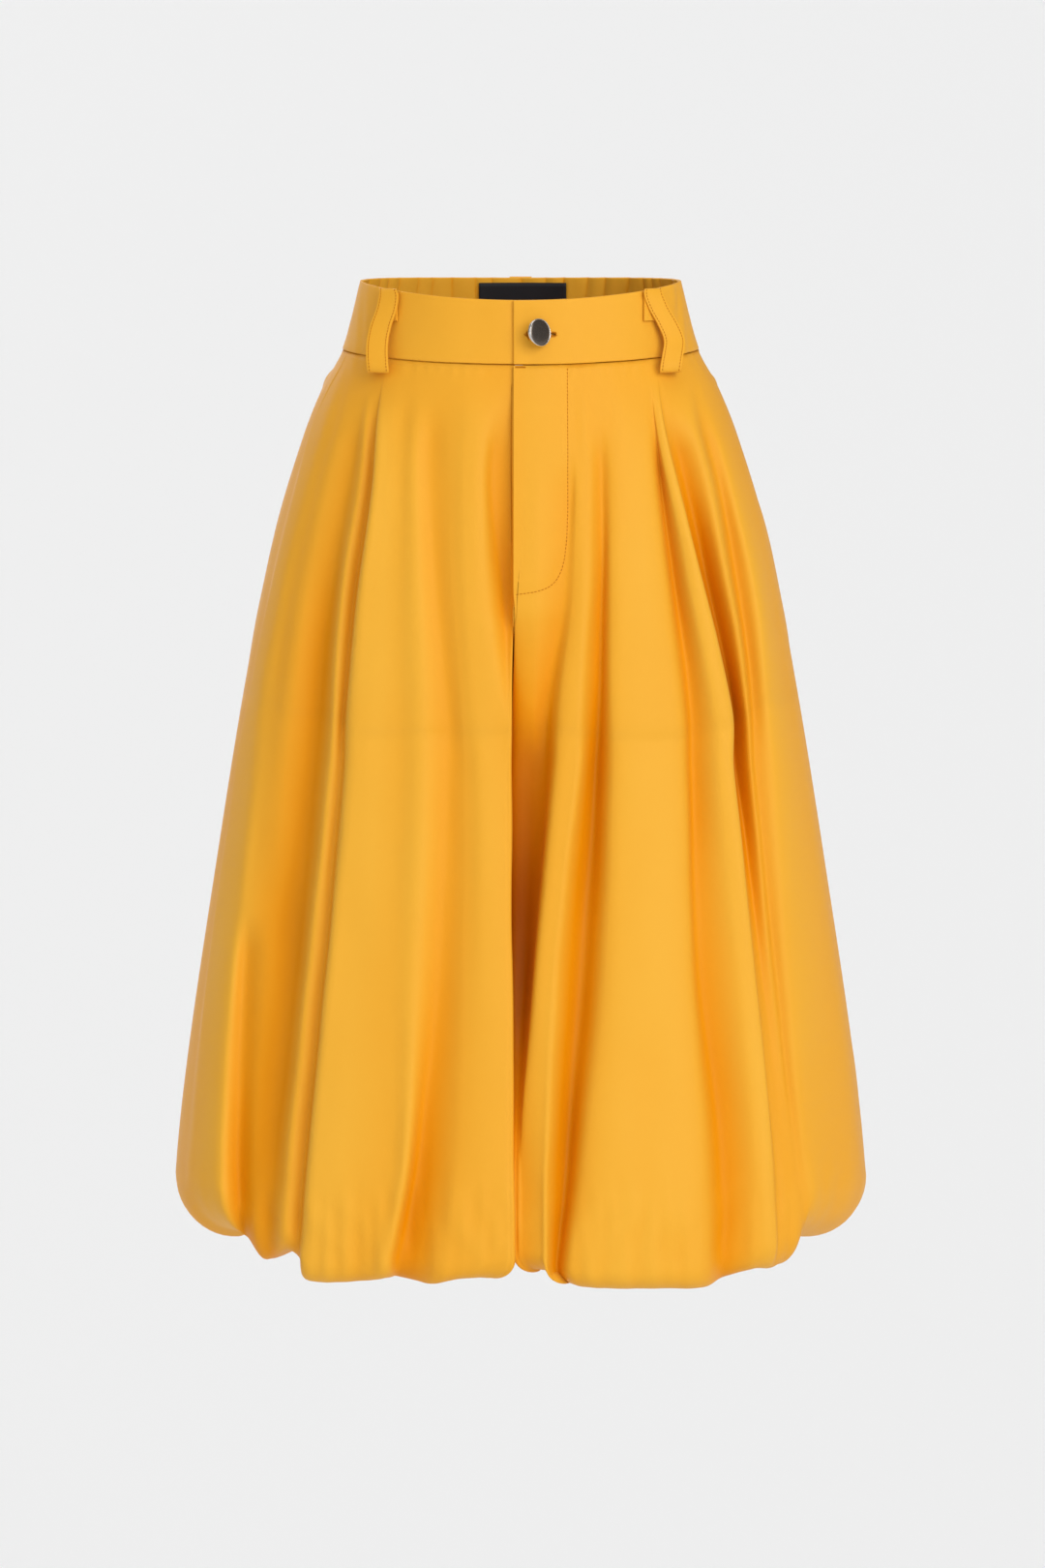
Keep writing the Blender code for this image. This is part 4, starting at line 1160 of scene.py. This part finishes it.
def fly_rows(low_x, high_x, bottom, inset, lower=0.0, curved=False):
    """Rows of a strip behind the fly; a curved one ends along the J of the stitching."""
    top = seam_drop(0.0, FRONT) + WAIST_SEAM_GAP + lower
    width = high_x - low_x
    rows = []
    for step in range(FLY_ROWS + 1):
        drop = top + (bottom - top) * step / FLY_ROWS
        into_bend = max(drop - (bottom - width), 0.0) / width if curved else 0.0
        reach = width * (1.0 - J_CUT * (1.0 - sqrt(max(1.0 - into_bend ** 2, 0.0))))
        row = []
        for column in range(FLY_COLUMNS + 1):
            x = low_x + reach * column / FLY_COLUMNS
            point, normal = form(x, drop, FRONT)
            row.append(point + normal * (front_out(x, drop) - inset))
        rows.append(row)
    return rows


for piece_name, node_name, rows in (
        ("fly_facing_cloth", "fly_facing",
         fly_rows(UNDERLAP_X + 1.5, FLY_WIDTH, FLY_BOTTOM, FACING_IN, curved=True)),
        ("fly_shield_cloth", "fly_shield",
         fly_rows(CENTRE_X - SHIELD_WIDTH / 2, CENTRE_X + SHIELD_WIDTH / 2, FLY_BOTTOM - 4,
                  SHIELD_IN)),
        ("zip_tape", "zip",
         fly_rows(ZIP_X - ZIP_WIDTH / 2, ZIP_X + ZIP_WIDTH / 2, FLY_BOTTOM - 10, ZIP_IN,
                  lower=SLIDER_HEIGHT + 0.35))):
    piece = cloth_grid(piece_name, rows, LAYER_WALL, cloth, from_axis)
    wear(piece, "cloth", node_name)
    declare_cloth(piece, rows)

# %% [markdown]
# ## Metal
# The metal is kept plain: a bright one for the button's rim, tack and slider, and a dark
# one for the button's face. Both have a faint cloudiness, as handled metal has.

# %% Metals
def metal(name, colour, roughness):
    """Polished metal with a faint cloudiness."""
    recipe = Recipe(name)
    haze = recipe.clouds(recipe.place(), 350.0, 3.0)
    return recipe.finish(base_color=colour, metallic=1.0, roughness=roughness + 0.12 * haze)


bright_metal = metal("Bright metal", (0.62, 0.60, 0.57, 1.0), 0.10)
dark_metal = metal("Dark metal", (0.145, 0.12, 0.1, 1.0), 0.2)


def seat(place, direction):
    """A matrix that puts a piece made about the origin at a place, its Z along a direction."""
    z_axis = direction.normalized()
    x_axis = Vector((0, 0, 1)).cross(z_axis).normalized()
    y_axis = z_axis.cross(x_axis)
    turn = Matrix((x_axis, y_axis, z_axis)).transposed().to_4x4()
    return Matrix.Translation(in_metres(place)) @ turn @ Matrix.Scale(MM, 4)


def wall_normal(across, drop, facing):
    """Outward direction of the sloping waistband at a place."""
    above, _ = form(across, drop - 6.0, facing)
    below, _ = form(across, drop + 6.0, facing)
    _, level = form(across, drop, facing)
    tangent = Vector((-level.y, level.x, 0.0))
    normal = tangent.cross(below - above).normalized()
    return normal if normal.dot(level) > 0 else -normal


def solid_object(name, mesh, finish):
    """Finish a closed bmesh as an object, with its faces outwards."""
    bmesh.ops.recalc_face_normals(mesh, faces=mesh.faces)
    for face in mesh.faces:
        face.smooth = True
    return place_object(name, mesh_data(name, mesh), finish)


def turned(name, profile, place, finish, steps=64):
    """A turned piece: a profile of radius and height, spun about its own Z."""
    mesh = bmesh.new()
    points = [mesh.verts.new((radius, 0.0, height)) for radius, height in profile]
    lines = [mesh.edges.new(pair) for pair in zip(points, points[1:])]
    bmesh.ops.spin(mesh, geom=points + lines, cent=(0, 0, 0), axis=(0, 0, 1), angle=2 * pi,
                   steps=steps, use_merge=True)
    bmesh.ops.remove_doubles(mesh, verts=mesh.verts, dist=0.0001)
    bmesh.ops.transform(mesh, matrix=place, verts=mesh.verts)
    return solid_object(name, mesh, finish)


# %% [markdown]
# ## Button
# A shank button: a slightly domed dark face held in a bright turned rim, on a narrow neck
# that goes through the buttonhole. It hangs with its face turned to the wearer's left, as
# a button does when the band pulls on its neck. A tack behind the band holds it.

# %% Button and tack
BUTTON_TILT = 40.0
BUTTON_DROP = 32.5
BUTTON_FOOT_X = 6.3
NECK_LIFT = 1.6
RIM_PROFILE = (
    (0.0, 11.0), (9.05, 11.0), (9.2, 11.7), (9.4, 11.9), (9.65, 11.8), (9.9, 11.3), (10.0, 10.7),
    (10.0, 9.9), (9.8, 9.3), (9.3, 8.9), (8.5, 8.8), (3.6, 8.7), (2.3, 8.3), (1.8, 7.4),
    (1.8, 0.0), (0.0, 0.0))
FACE_PROFILE = (
    (0.0, 12.15), (3.5, 12.1), (6.2, 11.95), (8.1, 11.72), (8.85, 11.55), (9.03, 11.35),
    (9.03, 11.05), (0.0, 11.05))
TACK_PROFILE = (
    (0.0, 0.2), (0.7, 0.2), (1.05, 0.0), (1.1, -2.7), (4.1, -2.8), (4.5, -3.0), (4.5, -3.4),
    (4.1, -3.8), (3.0, -4.0), (0.0, -4.05))

foot, _ = form(BUTTON_FOOT_X, BUTTON_DROP, FRONT)
band_out = wall_normal(BUTTON_FOOT_X, BUTTON_DROP, FRONT)
band_face = foot + band_out * (BAND_WALL / 2 - BAND_LAP)
lean = Matrix.Rotation(radians(BUTTON_TILT), 3, "Z") @ band_out
button_seat = seat(band_face + band_out * NECK_LIFT, lean)
button_rim = turned("button_rim", RIM_PROFILE, button_seat, bright_metal)
button_face = turned("button_face", FACE_PROFILE, button_seat, dark_metal)
tack = turned("button_back_tack", TACK_PROFILE, seat(band_face, band_out), bright_metal, 32)
wear(button_rim, "bright_metal", "button")
wear(button_face, "dark_metal", "button")
wear(tack, "bright_metal", "button_tack")
print("button face turned", BUTTON_TILT, "degrees")

# %% [markdown]
# The buttonhole is a keyhole: a narrow slit with a round eye at one end and room for the
# button's neck. It is cut through the band's whole thickness with Boolean modifiers, which
# are then applied.

# %% Buttonhole
SLIT_LENGTH, SLIT_HEIGHT = 20.0, 1.1
SLIT_SHIFT = 8.0
EYE_RADIUS, EYE_SHIFT = 1.2, 17.2
NECK_HOLE = 2.4
CUT_DEPTH = 14.0

left_band = front_bands["left_front_band"]
right_band = front_bands["right_front_band"]
along_band = Vector((0, 0, 1)).cross(band_out).normalized()


def cut_through(band, round_radius, shift, box_size=None):
    """Cut a round or long hole through a band, beside the button's foot."""
    mesh = bmesh.new()
    if box_size:
        bmesh.ops.create_cube(mesh, size=1.0)
        bmesh.ops.scale(mesh, vec=(*box_size, CUT_DEPTH), verts=mesh.verts)
    else:
        bmesh.ops.create_cone(mesh, cap_ends=True, segments=28, radius1=round_radius,
                              radius2=round_radius, depth=CUT_DEPTH)
    place = seat(band_face + along_band * shift, band_out)
    bmesh.ops.transform(mesh, matrix=place, verts=mesh.verts)
    cutter = bpy.data.objects.new("Hole cutter", mesh_data("Hole cutter", mesh))
    bpy.context.scene.collection.objects.link(cutter)
    cut = band.modifiers.new("Hole", "BOOLEAN")
    cut.operation = "DIFFERENCE"
    cut.solver = "EXACT"
    cut.object = cutter
    bpy.context.view_layer.update()
    finished_band = band.evaluated_get(bpy.context.evaluated_depsgraph_get())
    shaped = bpy.data.meshes.new_from_object(finished_band)
    band.modifiers.clear()
    band.data = shaped
    bpy.data.objects.remove(cutter)


cut_through(left_band, 0.0, SLIT_SHIFT, (SLIT_LENGTH, SLIT_HEIGHT))
cut_through(left_band, EYE_RADIUS, EYE_SHIFT)
cut_through(left_band, NECK_HOLE, 0.0)
cut_through(right_band, 1.5, 0.0)
print("left band faces:", len(left_band.data.polygons))

# %% [markdown]
# ## Zip teeth and slider
# The teeth are small pairs of studs down the middle of the tape. The slider is a rounded
# body with a pull tab that lies down over the teeth.

# %% Zip teeth and slider
TOOTH_PITCH = 1.5
TOOTH_SIZE = (3.2, 0.85, 1.3)
SLIDER_SIZE = (8.0, 10.0, 3.2)
TAB_SIZE = (5.0, 16.0, 0.9)
SLIDER_IN, TAB_IN, TAB_SHIFT = 4.6, 2.7, 5.0


def stud(mesh, size, place, bevel):
    """Add a small rounded block to a mesh."""
    made = bmesh.ops.create_cube(mesh, size=1.0)["verts"]
    bmesh.ops.scale(mesh, vec=size, verts=made)
    edges = list({edge for vertex in made for edge in vertex.link_edges})
    rounded = bmesh.ops.bevel(mesh, geom=edges, offset=bevel, segments=2, affect="EDGES",
                              profile=0.5, material=-1)
    corners = {vertex for face in rounded["faces"] for vertex in face.verts}
    corners |= {vertex for vertex in made if vertex.is_valid}
    bmesh.ops.transform(mesh, matrix=place, verts=list(corners))


def zip_place(drop, inset):
    """Where a zip part sits at a drop, and which way it faces."""
    point, normal = form(ZIP_X, drop, FRONT)
    return seat(point + normal * (front_out(ZIP_X, drop) - inset), wall_normal(ZIP_X, drop, FRONT))


zip_top = seam_drop(0.0, FRONT) + WAIST_SEAM_GAP
teeth = bmesh.new()
for index in range(int((FLY_BOTTOM - 12 - zip_top - SLIDER_HEIGHT) / TOOTH_PITCH)):
    shift = 0.6 if index % 2 else -0.6
    drop = zip_top + SLIDER_HEIGHT + 1.5 + index * TOOTH_PITCH
    stud(teeth, TOOTH_SIZE, zip_place(drop, ZIP_IN - 0.5) @ Matrix.Translation((shift, 0, 0)), 0.2)
zip_teeth = solid_object("zip_teeth", teeth, cloth)
wear(zip_teeth, "cloth")

slider_mesh = bmesh.new()
stud(slider_mesh, SLIDER_SIZE, zip_place(zip_top + SLIDER_HEIGHT / 2, SLIDER_IN), 1.1)
stud(slider_mesh, TAB_SIZE, zip_place(zip_top + SLIDER_HEIGHT / 2 + TAB_SHIFT, TAB_IN), 0.4)
slider = solid_object("slider_and_pull", slider_mesh, bright_metal)
wear(slider, "bright_metal", "zip_slider")
print("zip teeth faces:", len(zip_teeth.data.polygons))

# %% [markdown]
# ## Label
# A plain woven tape with its ends folded under, sewn inside the back of the band.

# %% Label
LABEL_X, LABEL_WIDTH, LABEL_HEIGHT = 1.5, 64.0, 30.0
LABEL_FOLD = 8.0
LABEL_WALL = 0.3
LABEL_FRONT_IN, LABEL_BACK_IN = 3.25, 2.85
LABEL_ROWS = 10
LABEL_FOLD_STEPS, LABEL_FACE_STEPS = 6, 40
LABEL_CURL = 0.25
LABEL_TOP_GAP = 3.5
TAPE_RIBS_DOWN, TAPE_RIBS_ACROSS = 1600, 2200


def label_rows():
    """Rows of the label, from one folded end, across its face, to the other."""
    half = LABEL_WIDTH / 2
    between = (LABEL_BACK_IN + LABEL_FRONT_IN) / 2
    path = [(-half + LABEL_FOLD * (1 - step / LABEL_FOLD_STEPS), LABEL_BACK_IN)
            for step in range(LABEL_FOLD_STEPS)]
    path += [(-half - LABEL_CURL, between)]
    path += [(-half + LABEL_WIDTH * step / LABEL_FACE_STEPS, LABEL_FRONT_IN)
             for step in range(LABEL_FACE_STEPS + 1)]
    path += [(half + LABEL_CURL, between)]
    path += [(half - LABEL_FOLD * step / LABEL_FOLD_STEPS, LABEL_BACK_IN)
             for step in range(LABEL_FOLD_STEPS)]
    rows = []
    for down in range(LABEL_ROWS + 1):
        row = []
        for along, inset in path:
            wave = 0.12 * unevenness(along / 9, down / 5, 3.0)
            drop = BACK_DIP + LABEL_TOP_GAP + LABEL_HEIGHT * down / LABEL_ROWS
            point, normal = form(LABEL_X + along, drop, BACK)
            row.append(point - normal * (inset + wave))
        rows.append(row)
    return rows


weave = Recipe("Black label tape")
tape_across, tape_down, _ = weave.parts(weave.place("UV"))
tape_ribs = ((tape_down * (2 * pi * TAPE_RIBS_DOWN)).wave() * 0.5
             + (tape_across * (2 * pi * TAPE_RIBS_ACROSS)).wave() * 0.3)
tape_dye = weave.clouds(weave.place(), 60.0)
black_tape = weave.finish(
    base_color=weave.blend(tape_dye, (0.0055, 0.0055, 0.0075, 1.0), (0.011, 0.011, 0.014, 1.0)),
    roughness=0.62 + 0.1 * tape_dye, normal=weave.bump(tape_ribs, 0.0001, 0.4),
    specular_ior_level=0.3)
rows = label_rows()
label = cloth_grid("bare_label", rows, LABEL_WALL, black_tape, lambda place: -from_axis(place))
wear(label, "label_cloth", "label")
declare_cloth(label, rows)

# %% [markdown]
# ## Stitching
# Every visible row of stitches is made of single small stitches, each a stretched ball that
# lies on the cloth: the J of the fly, the two edges of each belt loop, the buttonhole's
# edge, and the bar tacks that take the strain. A line of stitches is a list of points, each
# with its outward direction.

# %% Stitching
STITCH_PITCH, STITCH_LENGTH, STITCH_WIDTH = 2.6, 2.0, 0.7
STITCH_ROUNDNESS = 2
HOLE_POINTS, HOLE_END_GAP = 48, 1.4


def stitch_line(mesh, line, lift, pitch=STITCH_PITCH, length=STITCH_LENGTH, sideways=False,
                width=STITCH_WIDTH):
    """Lay stitches along a line of points with outward directions."""
    runs = [0.0]
    for (here, _), (there, _) in zip(line, line[1:]):
        runs.append(runs[-1] + max((there - here).length, 0.0001))
    for index in range(int(runs[-1] / pitch)):
        middle = (index + 0.5) * pitch
        part = min(bisect_right(runs, middle) - 1, len(line) - 2)
        share = (middle - runs[part]) / (runs[part + 1] - runs[part])
        outward = line[part][1].lerp(line[part + 1][1], share).normalized()
        along = (line[part + 1][0] - line[part][0]).normalized()
        across = outward.cross(along).normalized()
        if sideways:
            along, across = across, along
        point = line[part][0].lerp(line[part + 1][0], share) + outward * lift
        turn = Matrix((along * length / 2, across * width / 2, outward * width / 2))
        place = (Matrix.Translation(in_metres(point)) @ Matrix.Scale(MM, 4)
                 @ turn.transposed().to_4x4())
        bmesh.ops.create_icosphere(mesh, subdivisions=STITCH_ROUNDNESS, radius=1.0, matrix=place)


def strip_line(rows, column, first, last):
    """A line along a strip's column, with directions away from the strip's hollow side."""
    line, before = [], None
    for index in range(first, last):
        ahead = rows[min(index + 1, len(rows) - 1)][column] - rows[max(index - 1, 0)][column]
        level = rows[index][-1] - rows[index][0]
        outward = ahead.cross(level).normalized()
        reference = before or from_axis(rows[index][column])
        if outward.dot(reference) < 0:
            outward = -outward
        before = outward
        line.append((rows[index][column], outward))
    return line


def surface_finder(piece):
    """A search tree over a piece's middle surface."""
    mesh = bmesh.new()
    mesh.from_mesh(piece.data)
    tree = BVHTree.FromBMesh(mesh)
    mesh.free()
    return tree


def front_line(tree, places):
    """A line on the front of a piece, through places given as across and drop."""
    line = []
    for across, drop in places:
        start = Vector((across, -400.0, ORIGIN_DROP - drop)) * MM
        hit, normal, _, _ = tree.ray_cast(start, Vector((0.0, 1.0, 0.0)))
        if hit:
            outward = normal if normal.y < 0 else -normal
            line.append((hit / MM - Vector((0, 0, ORIGIN_DROP)), outward))
    return line


# The thread is marigold like the cloth, but it is coloured a deeper brown. That brown is painted
# shade, standing in for the small shadows where each stitch sinks into the cloth.
thread_recipe = Recipe("Marigold thread")
thread_dye = thread_recipe.clouds(thread_recipe.place(), 900.0)
thread = thread_recipe.finish(
    base_color=thread_recipe.blend(thread_dye, (0.38, 0.11, 0.001, 1.0), (0.55, 0.19, 0.004, 1.0)),
    roughness=0.5, specular_ior_level=0.1)

FLY_J = ((33.0, 56), (33.2, 90), (33.2, 130), (33.0, 165), (31.8, 183), (28.9, 197), (24.5, 205),
         (19.5, 209), (12.0, 211.5), (4.0, 213), (-4.5, 214))
j_knots = [Vector((across, drop, 0.0)) for across, drop in FLY_J]
j_places = [(knot.x, knot.y) for knot in curve_points(j_knots, [10] * (len(j_knots) - 1))]
left_tree = surface_finder(panels["left_front"])
half_cloth = CLOTH_WALL / 2
TACK_START, TACK_DROP, TACK_LENGTH = -3.8, 55.4, 9

stitches = bmesh.new()
stitch_line(stitches, front_line(left_tree, j_places), half_cloth)
for piece_name, rows in loop_points.items():
    first = LOOP_STEPS * LOOP_OVER_TOP
    last = len(rows) - LOOP_STEPS * LOOP_CURL_SPANS
    for column in LOOP_STITCH_COLUMNS:
        stitch_line(stitches, strip_line(rows, column, first, last), LOOP_WALL / 2, 2.2, 1.8)
bar_tack = front_line(left_tree, [(TACK_START + step, TACK_DROP) for step in range(TACK_LENGTH)])
stitch_line(stitches, bar_tack, half_cloth, 0.75, 1.5, sideways=True)

band_tree = surface_finder(left_band)
hole_edge = []
for index in range(HOLE_POINTS + 1):
    turn = 2 * pi * index / HOLE_POINTS
    wide = SLIT_LENGTH / 2 + HOLE_END_GAP
    high = 1.5 + 1.2 * ease((cos(turn) - 0.55) / 0.35)
    across = BUTTON_FOOT_X + SLIT_SHIFT + wide * cos(turn)
    hole_edge.append((across, BUTTON_DROP + high * sin(turn)))
stitch_line(stitches, front_line(band_tree, hole_edge), 0.05, 0.62, 1.5, sideways=True, width=0.5)
topstitching = solid_object("topstitching", stitches, thread)
wear(topstitching, "cloth")
print("stitch faces:", len(topstitching.data.polygons))

# %% [markdown]
# ## Stage and light
# A plain pale floor lies well below the garment. The main light is one wide soft source
# from the front, above and to the right, which shades the left side of each ridge. Weaker
# ones from the left, from above and from behind keep the shadows open, so that the sides
# and the back can be seen as well.

# %% Floor and lights
FLOOR_Z = -1.7
FLOOR_REACH = 400.0
FLOOR_GREY = (0.90, 0.90, 0.90, 1.0)
ROOM_LIGHT = 0.3
ROOM_WHITE = (1.0, 1.0, 1.0, 1.0)
ROOM_SEEN = (0.855, 0.855, 0.855, 1.0)
Sun = namedtuple("Sun", "name towards strength spread")
SUNS = (Sun("Key", (-0.65, 1.0, -0.5), 1.95, 45), Sun("Fill", (0.7, 1.0, -0.3), 0.7, 80),
        Sun("Rear", (0.5, -1.0, -0.4), 1.1, 60), Sun("Top", (0.0, 0.1, -1.0), 0.7, 40))

floor_mesh = bmesh.new()
bmesh.ops.create_grid(floor_mesh, x_segments=1, y_segments=1, size=FLOOR_REACH)
bmesh.ops.translate(floor_mesh, verts=floor_mesh.verts, vec=(0.0, 0.0, FLOOR_Z))
floor_data = mesh_data("Floor", floor_mesh)
floor = bpy.data.objects.new("Floor", floor_data)
bpy.context.scene.collection.objects.link(floor)
plain_floor = Recipe("Pale floor")
floor_data.materials.append(plain_floor.finish(base_color=FLOOR_GREY, roughness=0.9))


for light in SUNS:
    sun = bpy.data.lights.new(light.name, "SUN")
    sun.energy = light.strength
    sun.angle = radians(light.spread)
    lamp = bpy.data.objects.new(light.name, sun)
    lamp.rotation_euler = Vector(light.towards).to_track_quat("-Z", "Y").to_euler()
    bpy.context.scene.collection.objects.link(lamp)
print("lights:", ", ".join(light.name for light in SUNS))

# %% [markdown]
# The room lights the cloth evenly from all around. The camera sees it in a paler grey than
# it shines with, the grey of the lit floor, so the floor's far edge doesn't show as a step.

# %% Room
room = bpy.data.worlds.new("Pale room")
room.use_nodes = True
ambient = room.node_tree.nodes["Background"]
ambient.inputs["Color"].default_value = ROOM_WHITE
ambient.inputs["Strength"].default_value = ROOM_LIGHT
seen = room.node_tree.nodes.new("ShaderNodeBackground")
seen.inputs["Color"].default_value = ROOM_SEEN
choice = room.node_tree.nodes.new("ShaderNodeMixShader")
rays = room.node_tree.nodes.new("ShaderNodeLightPath")
for source, target in ((rays.outputs["Is Camera Ray"], choice.inputs[0]),
                       (ambient.outputs[0], choice.inputs[1]), (seen.outputs[0], choice.inputs[2]),
                       (choice.outputs[0], room.node_tree.nodes["World Output"].inputs["Surface"])):
    room.node_tree.links.new(source, target)
bpy.context.scene.world = room
bpy.context.scene.view_settings.view_transform = "Standard"
